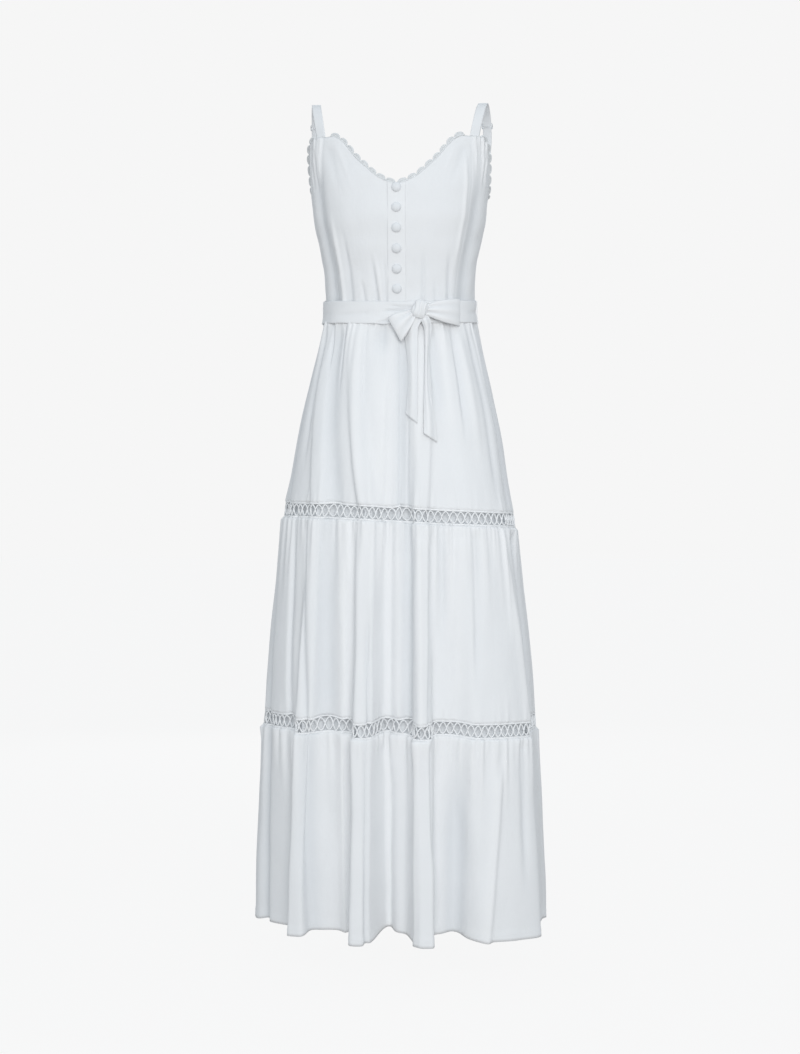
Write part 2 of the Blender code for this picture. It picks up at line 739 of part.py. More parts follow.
def belt_loops():
    """A narrow keeper at each side seam, bridging the belt from the bodice to the skirt."""
    end = BELT_WIDTH / 2 + BELT_LOOP_OVERHANG
    wall = BELT_LOOP_CLOTH
    high_foot = oval_reach(SIDE_SEAM, WAIST + end) + BELT_LOOP_SEAT
    low_foot = oval_reach(SIDE_SEAM, WAIST - end) + BELT_LOOP_SEAT
    over = oval_reach(SIDE_SEAM, WAIST - end) + BELT_STAND_OFF + CLOTH + SEAM_GAP
    inner_line = [
        (high_foot, end),
        (over, end),
        (over + BELT_LOOP_BULGE, 0.0),
        (over, -end),
        (low_foot, -end),
    ]
    outer_line = [
        (high_foot, end + wall),
        (over + wall, end + wall),
        (over + BELT_LOOP_BULGE + wall, 0.0),
        (over + wall, -end - wall),
        (low_foot, -end - wall),
    ]
    edges = (-BELT_LOOP_WIDTH / 2, BELT_LOOP_WIDTH / 2)
    faces = [face[::-1] for face in grid_faces(len(inner_line) - 1, 1)]
    for name, way in (("right", 1), ("left", -1)):
        outer, inner = (
            np.array([(way * reach, way * y, WAIST + up) for reach, up in line for y in edges])
            for line in (outer_line, inner_line)
        )
        thick_sheet(f"belt_loop_{name}", outer, inner, faces, "cloth")


def at_height(turn, height, stand_off):
    """A point at a true height, outside the smooth oval of the waist and skirt."""
    level = height + at_level(HANGS, "dip", WAIST) * np.cos(np.radians(turn))
    return belt_point(turn, level, stand_off)


def bow():
    """The belt's knot with two loops and two tails."""
    centre = at_height(KNOT_TURN, KNOT_HEIGHT, KNOT_STAND_OFF)
    angle = math.radians(KNOT_TURN) * KNOT_FACING
    right = np.array([math.cos(angle), math.sin(angle), 0.0])
    out = np.array([math.sin(angle), -math.cos(angle), 0.0])
    up = np.array([0.0, 0.0, 1.0])
    wide, deep, tall = KNOT_RADII

    def place(x, y, z):
        return centre + right * x * wide + up * y * tall + out * z * deep

    ball("bow_knot", KNOT_GRID, place, "cloth")
    for name, route, slant in (
        ("loop_right", LOOP_RIGHT, 0.0),
        ("loop_left", LOOP_LEFT, 0.0),
        ("tail_long", TAIL_LONG, -TAIL_SLANT),
        ("tail_short", TAIL_SHORT, -TAIL_SLANT),
    ):
        read = read_route(route, BOW_STEPS)
        centres = at_height(read["turn"], read["height"], read["stand_off"])
        middle = centres[len(centres) // 2] - centres[0]
        across = np.cross(middle, out)
        across = np.tile(across / np.linalg.norm(across), (len(centres), 1))
        ribbon(f"bow_{name}", centres, across, read["width"], BOW_CLOTH, "cloth", slant)


def build():
    for old in list(bpy.data.objects):
        bpy.data.objects.remove(old, do_unlink=True)
    skirt()
    edgings(bodice())
    buttons()
    straps()
    belt()
    belt_loops()
    bow()


build()
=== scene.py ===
# %% [markdown]
# # A white tiered dress with crochet lace
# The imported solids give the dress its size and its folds, in walls thick enough for physics.
# This notebook dresses them: every cloth piece is laid again as a thin shell on the same
# surface, finely enough for gathers and creases, and the crochet is drawn cord by cord.
# Everything is in metres, with the front towards -Y and the shoulders at the origin.

# %% The frame
import math
from collections import namedtuple

import bpy
import numpy as np
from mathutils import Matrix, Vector, noise
from mathutils.bvhtree import BVHTree


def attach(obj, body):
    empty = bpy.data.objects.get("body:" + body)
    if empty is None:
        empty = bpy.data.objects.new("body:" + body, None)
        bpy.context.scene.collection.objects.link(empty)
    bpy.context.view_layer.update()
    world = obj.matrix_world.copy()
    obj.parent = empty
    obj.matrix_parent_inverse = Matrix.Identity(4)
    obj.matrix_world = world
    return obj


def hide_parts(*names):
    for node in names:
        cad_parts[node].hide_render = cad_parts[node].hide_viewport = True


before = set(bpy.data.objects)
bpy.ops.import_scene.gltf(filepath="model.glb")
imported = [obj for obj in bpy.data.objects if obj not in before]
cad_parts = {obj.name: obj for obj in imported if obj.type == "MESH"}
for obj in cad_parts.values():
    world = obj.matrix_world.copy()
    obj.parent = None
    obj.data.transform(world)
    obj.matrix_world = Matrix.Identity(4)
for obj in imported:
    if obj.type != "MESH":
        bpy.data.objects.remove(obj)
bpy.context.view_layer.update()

SIDES = (("right", 1), ("left", -1))


def table(kind, *rows):
    """Plain rows as named tuples, so that each column has its name."""
    return [kind(*row) for row in rows]


def add_object(name, data):
    made = bpy.data.objects.new(name, data)
    bpy.context.collection.objects.link(made)
    return made


# %% [markdown]
# ## Camera
# The straps, seams and hem of the photograph all lie on level lines, so the lens looked
# straight ahead from the height of the hips, a step to the right of the middle. A long lens at
# 3.2 m keeps the skirt from swelling towards the viewer. No shift is needed.

# %% Camera
CAMERA_DISTANCE = 3.2
CAMERA_HEIGHT = -0.696
CAMERA_TURN = math.radians(3.0)
CAMERA_LENS = 66.1

camera = add_object("camera", bpy.data.cameras.new("camera"))
camera.data.lens = CAMERA_LENS
camera.data.sensor_width = 36.0
camera.location = (
    CAMERA_DISTANCE * math.sin(CAMERA_TURN),
    -CAMERA_DISTANCE * math.cos(CAMERA_TURN),
    CAMERA_HEIGHT,
)
camera.rotation_euler = (math.pi / 2, 0.0, CAMERA_TURN)
bpy.context.scene.camera = camera
print("camera stands", CAMERA_DISTANCE, "m away")

# %% [markdown]
# ## Shader maths
# A material is easier to read as a formula than as a list of links. This small class wraps a
# socket, so that `1 - weave * 0.2` adds the Math nodes itself, and `node` adds any other node,
# in Geometry Nodes too.


# %% Shader maths
class Socket:
    """An output of a node, with Python's operators as Math nodes."""

    def __init__(self, tree, output):
        self.tree = tree
        self.output = output

    def node(self, kind, settings=None, output=0, **values):
        """Adds a node: its settings first, then a value or a link for each named socket."""
        made = self.tree.nodes.new(kind)
        for name, value in (settings or {}).items():
            setattr(made, name, value)
        for name, value in values.items():
            place = int(name[1:]) if name[1:].isdigit() else name.replace("_", " ")
            target = made.inputs[place]
            if isinstance(value, Socket):
                self.tree.links.new(value.output, target)
            else:
                target.default_value = value
        return Socket(self.tree, made.outputs[output]) if made.outputs else None

    def math(self, operation, *values):
        numbered = {f"i{number}": value for number, value in enumerate(values)}
        return self.node("ShaderNodeMath", {"operation": operation}, **numbered)

    def __add__(self, other):
        return self.math("ADD", self, other)

    def __sub__(self, other):
        return self.math("SUBTRACT", self, other)

    def __mul__(self, other):
        return self.math("MULTIPLY", self, other)

    def __rsub__(self, other):
        return self.math("SUBTRACT", other, self)

    __radd__ = __add__
    __rmul__ = __mul__

    def noise(self, size, detail=2.0, roughness=0.5):
        """Soft noise from -0.5 to 0.5 on this vector, whose blots are about `size` across."""
        made = self.node("ShaderNodeTexNoise", i2=1 / size, i3=detail, i4=roughness, i0=self)
        return made - 0.5

    def stretched(self, across, along):
        """This vector with its first and second part scaled."""
        scale = (across, along, 1.0)
        return self.node("ShaderNodeVectorMath", {"operation": "MULTIPLY"}, i0=self, i1=scale)

    def threads(self, axis, pitch):
        """Ridges of the given pitch, from 0 to 1, counted along the vector's x or y."""
        part = self.node("ShaderNodeSeparateXYZ", output="XY".index(axis), i0=self)
        return self.math("SINE", part * (2 * math.pi / pitch)) * 0.5 + 0.5

    def tint(self, low, high):
        """A colour between two, as this value goes from 0 to 1."""
        mix = self.tree.nodes.new("ShaderNodeMix")
        mix.data_type = "RGBA"
        self.tree.links.new(self.output, mix.inputs[0])
        mix.inputs[6].default_value = low
        mix.inputs[7].default_value = high
        return Socket(self.tree, mix.outputs[2])


def new_material(name, roughness, **constants):
    """A material with its Principled shader, constants set on it, and a start for formulas."""
    made = bpy.data.materials.new(name)
    made.use_nodes = True
    shader = made.node_tree.nodes["Principled BSDF"]
    shader.inputs["Roughness"].default_value = roughness
    for socket, value in constants.items():
        shader.inputs[socket.replace("_", " ")].default_value = value
    return made, shader, Socket(made.node_tree, None)


def plug(source, shader, socket):
    source.tree.links.new(source.output, shader.inputs[socket])


def shade(color):
    """An opaque colour for a shader socket."""
    return (*color, 1.0)


# %% [markdown]
# ## Cloth
# The dress is a light plain-weave cotton or viscose: matt, a cold white, faintly uneven. The
# pattern runs on each piece's own UV map, which counts metres along the cut cloth, so the
# threads follow the folds. Single threads are too fine to model, so they go in the bump, with
# slubs along the warp and a soft crumple that breaks up the shading. The inner side of the
# cloth has a painted glow, a faint bluish emission that stands in for daylight coming through
# so thin a cloth, and keeps the holes of the lace pale. A point attribute carries painted
# shade from the relief: it greys the cloth in deep folds and paints it a little whiter on ridges.

# %% Cloth, lace, thread, button and slider finishes
THREAD_PITCH = 0.0006
CRUMPLE = 0.0011
# painted glow of the cloth's inner wall, and its bluish tint
PAINTED_INSIDE_GLOW = 0.13
PAINTED_GLOW_TINT = (0.90, 0.95, 1.0)
CLOTH_WHITE = (0.885, 0.892, 0.900)
# the grey that the cloth's uneven tone and its painted shade run towards
CLOTH_GREY_AND_PAINTED_SHADE = (0.660, 0.692, 0.722)


def cloth_finish(name, white, deep, crumple, glow=0.0):
    made, shader, start = new_material(name, 0.82, Sheen_Weight=0.25, Sheen_Roughness=0.4)
    # painted glow: with glow above 0 the finish gives off a faint bluish light, as on inner walls
    shader.inputs["Emission Color"].default_value = shade(PAINTED_GLOW_TINT)
    shader.inputs["Emission Strength"].default_value = glow
    shader.inputs["Specular IOR Level"].default_value = 0.25
    place = start.node("ShaderNodeUVMap", {"uv_map": "cut"})
    weave = place.threads("X", THREAD_PITCH) * place.threads("Y", THREAD_PITCH)
    slubs = place.stretched(1.0, 0.06).noise(0.0011, 3.0, 0.6)
    cross_slubs = place.stretched(0.08, 1.0).noise(0.0014, 2.0, 0.6)
    rumple = place.stretched(1.0, 0.45).noise(0.021, 3.0, 0.55)
    cloudy = place.noise(0.06, 2.0, 0.5)
    # painted shading: a point attribute greys the cloth in troughs and whitens it on ridges
    hollow = start.node("ShaderNodeAttribute", {"attribute_name": "hollow"}, output=2)
    tone = slubs * 0.11 + cross_slubs * 0.07 + cloudy * 0.14 + weave * 0.03 + 0.86 - hollow
    plug(tone.tint(shade(deep), shade(white)), shader, "Base Color")
    plug(slubs * 0.12 + 0.82, shader, "Roughness")
    height = weave * 0.00006 + slubs * 0.00010 + cross_slubs * 0.00006 + rumple * crumple
    bump = start.node("ShaderNodeBump", Height=height, Strength=0.7, Distance=1.0)
    plug(bump, shader, "Normal")
    return made


def lace_finish(name, deep, light):
    made, shader, start = new_material(name, 0.9, Sheen_Weight=0.3)
    shader.inputs["Specular IOR Level"].default_value = 0.2
    place = start.node("ShaderNodeTexCoord", output=3)
    twist = place.stretched(1.0, 1.0).noise(0.0009, 2.0, 0.6)
    cloudy = place.noise(0.012, 2.0, 0.5)
    tone = twist * 0.9 + cloudy * 0.6 + 0.5
    plug(tone.tint(shade(deep), shade(light)), shader, "Base Color")
    plug(twist * 0.1 + 0.88, shader, "Roughness")
    bump = start.node("ShaderNodeBump", Height=twist * 0.0004, Strength=0.8, Distance=1.0)
    plug(bump, shader, "Normal")
    return made


def metal_finish():
    made, shader, start = new_material("satin_metal", 0.3, Metallic=1.0)
    place = start.node("ShaderNodeTexCoord", output=3)
    scratches = place.stretched(0.1, 1.0).noise(0.0006, 2.0, 0.5)
    tone = scratches * 0.6 + 0.5
    plug(tone.tint(shade((0.70, 0.72, 0.74)), shade((0.88, 0.89, 0.90))), shader, "Base Color")
    plug(scratches * 0.2 + 0.32, shader, "Roughness")
    return made


tones = CLOTH_WHITE, CLOTH_GREY_AND_PAINTED_SHADE
cloth = cloth_finish("soft_white_cloth", *tones, CRUMPLE)
# the inner walls of the shells carry a painted glow
cloth_inside = cloth_finish("cloth_seen_from_inside", *tones, CRUMPLE, PAINTED_INSIDE_GLOW)
button_cloth = cloth_finish("button_cloth", (0.84, 0.855, 0.87), (0.62, 0.66, 0.70), 0.0001)
thread = cloth_finish("sewing_thread", (0.89, 0.90, 0.91), (0.82, 0.84, 0.86), 0.0)
lace = lace_finish("crochet_cotton", (0.87, 0.885, 0.90), (0.95, 0.955, 0.96))
edging_lace = lace_finish("fine_crochet_cotton", (0.72, 0.745, 0.76), (0.83, 0.85, 0.86))
satin_metal = metal_finish()
print("finishes:", [made.name for made in bpy.data.materials if made.users == 0])

# %% [markdown]
# ## The surface that all cloth lies on
# As on the solids, two numbers find any point of the cloth: the turn round the upright axis,
# 0 at the front and 90 at the right side, and the level. Level ovals give the girth, a table
# of folds gives the hanging ridges, and the cloth leans, dips and drops a little.

# %% The cloth's surface
WAIST = -0.342
BAND_1 = -0.676
BAND_2 = -1.0105
HEM = -1.336
BAND_HEIGHT = 0.022
SIDE_SEAM = 90.0

Section = namedtuple("Section", "level half_width front_depth back_depth squareness")
SECTIONS = table(
    Section,
    (-1.350, 0.2330, 0.148, 0.158, 2.5),
    (-1.260, 0.2310, 0.150, 0.160, 2.5),
    (-1.140, 0.2270, 0.151, 0.161, 2.5),
    (-1.030, 0.2200, 0.152, 0.160, 2.5),
    (-0.902, 0.2130, 0.150, 0.157, 2.5),
    (-0.783, 0.2000, 0.147, 0.153, 2.5),
    (-0.684, 0.1890, 0.143, 0.147, 2.5),
    (-0.625, 0.1795, 0.139, 0.142, 2.45),
    (-0.545, 0.1670, 0.131, 0.134, 2.4),
    (-0.466, 0.1505, 0.119, 0.123, 2.4),
    (-0.387, 0.1310, 0.102, 0.105, 2.4),
    (-0.342, 0.1215, 0.092, 0.090, 2.4),
    (-0.280, 0.1245, 0.098, 0.089, 2.45),
    (-0.235, 0.1325, 0.107, 0.093, 2.5),
    (-0.190, 0.1415, 0.113, 0.099, 2.6),
    (-0.149, 0.1455, 0.111, 0.101, 2.8),
    (-0.100, 0.1480, 0.103, 0.096, 3.0),
    (-0.060, 0.1500, 0.094, 0.088, 3.2),
)
Hang = namedtuple("Hang", "level lean dip drop sag_behind")
HANGS = table(
    Hang,
    (HEM, 0.004, 0.000, 0.22, 0.000),
    (BAND_2, 0.004, 0.000, 0.20, 0.008),
    (BAND_1 - BAND_HEIGHT / 2, 0.009, 0.000, 0.00, 0.024),
    (BAND_1 + BAND_HEIGHT / 2, 0.009, 0.000, 0.00, 0.024),
    (WAIST, 0.000, 0.010, 0.00, 0.000),
    (-0.150, 0.000, 0.000, 0.00, 0.000),
)
Fold = namedtuple("Fold", "turn_waist turn_low spread crispness rise_band_1 rise_band_2 rise_hem")
FOLDS = table(
    Fold,
    (-84, -80, 7.0, 4, 0.002, 0.004, 0.006),
    (-62, -45, 5.0, 6, 0.008, 0.022, 0.038),
    (-38, -16, 5.6, 6, 0.012, 0.033, 0.055),
    (-3, -5, 4.0, 4, -0.008, -0.012, -0.024),
    (26, 14.5, 5.2, 6, 0.011, 0.031, 0.055),
    (56, 52, 16.0, 12, 0.008, 0.022, 0.036),
    (99, 98, 6.0, 4, 0.002, 0.006, 0.010),
    (124, 120, 7.0, 6, 0.008, 0.024, 0.040),
    (148, 145, 5.5, 6, 0.010, 0.028, 0.048),
    (171, 170, 6.5, 6, 0.008, 0.024, 0.042),
    (-165, -163, 5.5, 6, 0.011, 0.030, 0.050),
    (-138, -137, 7.5, 6, 0.008, 0.024, 0.040),
    (-114, -112, 5.5, 6, 0.006, 0.018, 0.030),
)


def smooth_through(places, values, at):
    """The values at `at`, on a smooth curve through the rows that never overshoots them."""
    places = np.asarray(places, float)
    values = np.asarray(values, float)
    steps = np.diff(places)
    slopes = np.diff(values) / steps
    tangents = np.concatenate(([slopes[0]], np.zeros(len(places) - 2), [slopes[-1]]))
    for i in range(1, len(places) - 1):
        before, after = slopes[i - 1], slopes[i]
        if before * after > 0:
            tangents[i] = 2 * before * after / (before + after)
    row = np.clip(np.searchsorted(places, at) - 1, 0, len(steps) - 1)
    t = np.clip((at - places[row]) / steps[row], 0, 1)
    return (
        values[row] * (1 + 2 * t) * (1 - t) ** 2
        + values[row + 1] * t * t * (3 - 2 * t)
        + steps[row] * t * (1 - t) * (tangents[row] * (1 - t) - tangents[row + 1] * t)
    )


def column(table, name):
    return [getattr(row, name) for row in table]


def at_level(table, name, level):
    return smooth_through(column(table, "level"), column(table, name), level)


def oval_reach(turn, level):
    """Distance from the axis to the cloth without its folds."""
    angle = np.radians(turn)
    depth = np.where(
        np.cos(angle) > 0,
        at_level(SECTIONS, "front_depth", level),
        at_level(SECTIONS, "back_depth", level),
    )
    power = at_level(SECTIONS, "squareness", level)
    across = np.abs(np.sin(angle) / at_level(SECTIONS, "half_width", level)) ** power
    ahead = np.abs(np.cos(angle) / depth) ** power
    return (across + ahead) ** (-1 / power)


def fold_rise(turn, level):
    """How far the hanging folds stand out from the oval."""
    rise = np.zeros_like(turn + level)
    for fold in FOLDS:
        middle = np.interp(level, [BAND_1, WAIST], [fold.turn_low, fold.turn_waist])
        away = (turn - middle + 180) % 360 - 180
        heights = [fold.rise_hem, fold.rise_band_2, fold.rise_band_1, 0.0]
        height = smooth_through([HEM, BAND_2, BAND_1, WAIST], heights, level)
        rise = rise + height / (1 + np.abs(away / fold.spread) ** fold.crispness)
    return rise


def cloth_point(turn, level, out=0.0):
    """Points of the cloth's outer face, moved out along the level by `out`."""
    turn, level = np.broadcast_arrays(np.asarray(turn, float), np.asarray(level, float))
    rise = fold_rise(turn, level)
    reach = oval_reach(turn, level) + rise + out
    angle = np.radians(turn)
    height = (
        level
        - at_level(HANGS, "lean", level) * np.sin(angle)
        - at_level(HANGS, "dip", level) * np.cos(angle)
        - at_level(HANGS, "drop", level) * rise
        - at_level(HANGS, "sag_behind", level) * np.clip(-np.cos(angle), 0, 1) ** 2
    )
    return np.stack([reach * np.sin(angle), -reach * np.cos(angle), height], axis=-1)


def unit(vectors):
    return vectors / np.linalg.norm(vectors, axis=-1, keepdims=True)


def run_along(points):
    """The way along a line of points, from the first to each."""
    return np.concatenate(([0.0], np.cumsum(np.linalg.norm(np.diff(points, axis=0), axis=1))))


def read_along(at, run, points):
    """A line's points, or its vectors, at some lengths of its run."""
    return np.stack([np.interp(at, run, points[:, i]) for i in range(3)], axis=-1)


def level_normals(points):
    """Level vectors out of the cloth along a line that runs to the right, of any length."""
    along = np.gradient(points[:, :2], axis=0)
    return np.stack([along[:, 1], -along[:, 0], np.zeros(len(points))], axis=-1)


print("waist girth", round(float(np.linalg.norm(np.diff(
    cloth_point(np.linspace(-90, 270, 721), WAIST), axis=0), axis=1).sum()), 3), "m")

# %% [markdown]
# ## Laying cloth on the surface
# A tier of skirt is a tube of evenly spaced columns, front half and back half, so that the
# threads and the lace stay regular round the folds. `lay` returns the grid with what a
# crease needs to know of each point: its turn, its run from the left side seam and its level.

# %% Laying cloth
FINE_STEPS = 1081
Laid = namedtuple("Laid", "place normal turn run share level")


def lay(levels, front_columns, back_columns):
    """A closed grid of cloth points, a row for each level from the lowest up."""
    fine = [np.linspace(middle - 90, middle + 90, FINE_STEPS) for middle in (0, 180)]
    shares = [np.arange(columns) / columns for columns in (front_columns, back_columns)]
    rows = []
    for level in levels:
        halves, start = [], 0.0
        for turns, share in zip(fine, shares):
            points = cloth_point(turns, level)
            run = run_along(points)
            at = share * run[-1]
            place = read_along(at, run, points)
            normal = read_along(at, run, level_normals(points))
            halves.append((place, normal, np.interp(at, run, turns), start + at))
            start += run[-1]
        rows.append([np.concatenate(part) for part in zip(*halves)])
    place, normal, turn, run = (np.stack(part) for part in zip(*rows))
    share = np.concatenate([shares[0], 1 + shares[1]])
    level = np.repeat(np.asarray(levels)[:, None], len(share), axis=1)
    return Laid(place, unit(normal), turn, run, share, level)


def smooth_step(value):
    value = np.clip(value, 0, 1)
    return value * value * (3 - 2 * value)


SEWN = 0.001  # a crease that ends in a seam eases over no more than this
CREASE_COLUMNS = "turn_top turn_low top low depth width skew ease_top ease_low"
Crease = namedtuple("Crease", CREASE_COLUMNS, defaults=(0.0, SEWN, SEWN))


def crease_relief(laid, table):
    """Soft troughs and ridges as listed. Depth is out of the cloth. Skew goes from -1 to 1 and
    makes the right side of a crease wider below 0, and steeper above it."""
    relief = np.zeros(laid.turn.shape)
    for crease in table:
        share = np.clip((crease.top - laid.level) / (crease.top - crease.low), 0, 1)
        off = laid.turn - crease.turn_top - (crease.turn_low - crease.turn_top) * share
        middle = [np.interp(0.0, row, run) for row, run in zip(off, laid.run)]
        away = laid.run - np.array(middle)[:, None]
        width = crease.width * np.where(away < 0, 1 + crease.skew, 1 - crease.skew)
        fade = smooth_step((crease.top - laid.level) / crease.ease_top)
        fade = fade * smooth_step((laid.level - crease.low) / crease.ease_low)
        relief += crease.depth * fade * np.exp(-((away / width) ** 2))
    return relief


Gather = namedtuple("Gather", "seam way count depth width reach seed")
SEAM_FLAT = 0.004
NEAR_SHARE = 0.05
FANNING = 1.3


def gather_relief(laid, gather):
    """Fine ridges that start at a seam and run out, each with its own depth and length. `way`
    is 1 for ridges that hang below the seam and -1 for ridges above it."""
    draw = np.random.default_rng(gather.seed)
    places = (np.arange(gather.count) + draw.uniform(-0.4, 0.4, gather.count)) * 2 / gather.count
    depths = gather.depth * draw.uniform(0.25, 1.0, gather.count)
    reaches = gather.reach * draw.uniform(0.2, 1.0, gather.count) ** 1.3
    widths = gather.width * draw.uniform(0.7, 1.5, gather.count)
    from_seam = (gather.seam - laid.level) * gather.way
    half_length = laid.run[:, -1:] / 2
    relief = np.zeros(laid.turn.shape)
    for place, depth, reach, width in zip(places, depths, reaches, widths):
        near = np.abs(laid.share - place) < NEAR_SHARE
        away = (laid.share[near] - place)[None, :] * half_length
        gone = np.clip(from_seam[:, near] / reach, 0, 1)
        spread = width * (1 + FANNING * gone)
        fade = (1 - gone) ** 1.4 * smooth_step(from_seam[:, near] / SEAM_FLAT)
        relief[:, near] += depth * fade * np.exp(-((away / spread) ** 2))
    return relief


# %% [markdown]
# ## From grid to shell
# Each grid becomes a mesh of quads with a UV map named `cut`, in metres of flat cloth. A
# Solidify modifier then gives the cloth its own small thickness, inwards, with a rim at each
# open edge. Painted shade in the troughs and painted highlight on the ridges come from the
# same relief as their shape.

# %% Shells
CLOTH_SHELL = 0.0007
# painted shade and painted highlight: how strongly folds and gathers grey or whiten the cloth,
# and at what depth
FOLD_SHADE = 0.34
FOLD_SHADE_DEPTH = 0.0080
GATHER_SHADE = 0.10
GATHER_SHADE_DEPTH = 0.0025


def grid_mesh(name, place, across, along, closed, finish, hollow=None, inside=None):
    """A piece of quads from a grid of points, rows upwards and columns to the right.
    `across` has one value more than the columns if the grid is closed. `inside` is the
    finish of the inner wall, where that differs."""
    rows, columns = place.shape[:2]
    width = columns if closed else columns - 1
    low = np.arange(rows - 1)[:, None] * columns
    left, right = np.arange(width), (np.arange(width) + 1) % columns
    quads = np.stack([low + left, low + right, low + columns + right, low + columns + left], -1)
    mesh = bpy.data.meshes.new(name)
    mesh.from_pydata(place.reshape(-1, 3).tolist(), [], quads.reshape(-1, 4).tolist())
    u = np.broadcast_to(across, (rows, width + 1))
    v = np.broadcast_to(along[:, None], (rows, width + 1))
    flat = np.stack([u, v], -1)
    corners = [flat[:-1, :-1], flat[:-1, 1:], flat[1:, 1:], flat[1:, :-1]]
    mesh.uv_layers.new(name="cut").data.foreach_set("uv", np.stack(corners, 2).ravel())
    # painted shading for the cloth's colour, kept as a point attribute
    if hollow is not None:
        mesh.attributes.new("hollow", "FLOAT", "POINT").data.foreach_set("value", hollow.ravel())
    mesh.materials.append(finish)
    if inside:
        mesh.materials.append(inside)
    mesh.shade_smooth()
    return add_object(name, mesh)


def thicken(piece, thickness):
    shell = piece.modifiers.new("thickness", "SOLIDIFY")
    shell.thickness = thickness
    shell.offset = -1.0
    shell.material_offset = len(piece.data.materials) - 1


def relief_painted_shading(folds, gathers=0.0):
    """Painted shade in a trough, and painted highlight on a ridge, from the relief."""
    from_folds = np.clip(-folds / FOLD_SHADE_DEPTH, -0.35, 1.0) * FOLD_SHADE
    from_gathers = np.clip(-gathers / GATHER_SHADE_DEPTH, -1.0, 1.0) * GATHER_SHADE
    return np.clip(from_folds + from_gathers, -0.15, 0.6)


def stand_for(piece, slot, *nodes):
    """The piece rides on the dress, in the place of CAD nodes, if any, which it hides. The slot
    is not used.
    """
    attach(piece, "root")
    if nodes:
        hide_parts(*nodes)


# %% [markdown]
# ## Skirt tiers
# Three strips of cloth, each gathered into the seam above it: the upper tier into the waist,
# the middle and lower ones into the crochet bands. The gathers are many fine ridges of
# uneven length. The creases after them are placed from the photograph's front view,
# with similar ones on the back.

# %% Skirt tiers
Tier = namedtuple("Tier", "name top low rows front_columns back_columns cut_width")
TIERS = [
    Tier("upper", WAIST, BAND_1 + BAND_HEIGHT / 2, 62, 400, 240, 1.30),
    Tier("middle", BAND_1 - BAND_HEIGHT / 2, BAND_2 + BAND_HEIGHT / 2, 62, 400, 240, 1.75),
    Tier("lower", BAND_2 - BAND_HEIGHT / 2, HEM, 62, 400, 240, 2.15),
]
GATHERS = {
    "upper": [
        Gather(WAIST - 0.012, 1, 90, 0.0042, 0.0034, 0.170, 11),
        Gather(BAND_1 + BAND_HEIGHT / 2, -1, 90, 0.0022, 0.0024, 0.090, 12),
    ],
    "middle": [
        Gather(BAND_1 - BAND_HEIGHT / 2, 1, 190, 0.0046, 0.0027, 0.230, 21),
        Gather(BAND_2 + BAND_HEIGHT / 2, -1, 110, 0.0020, 0.0028, 0.070, 22),
    ],
    "lower": [Gather(BAND_2 - BAND_HEIGHT / 2, 1, 190, 0.0046, 0.0034, 0.170, 31)],
}
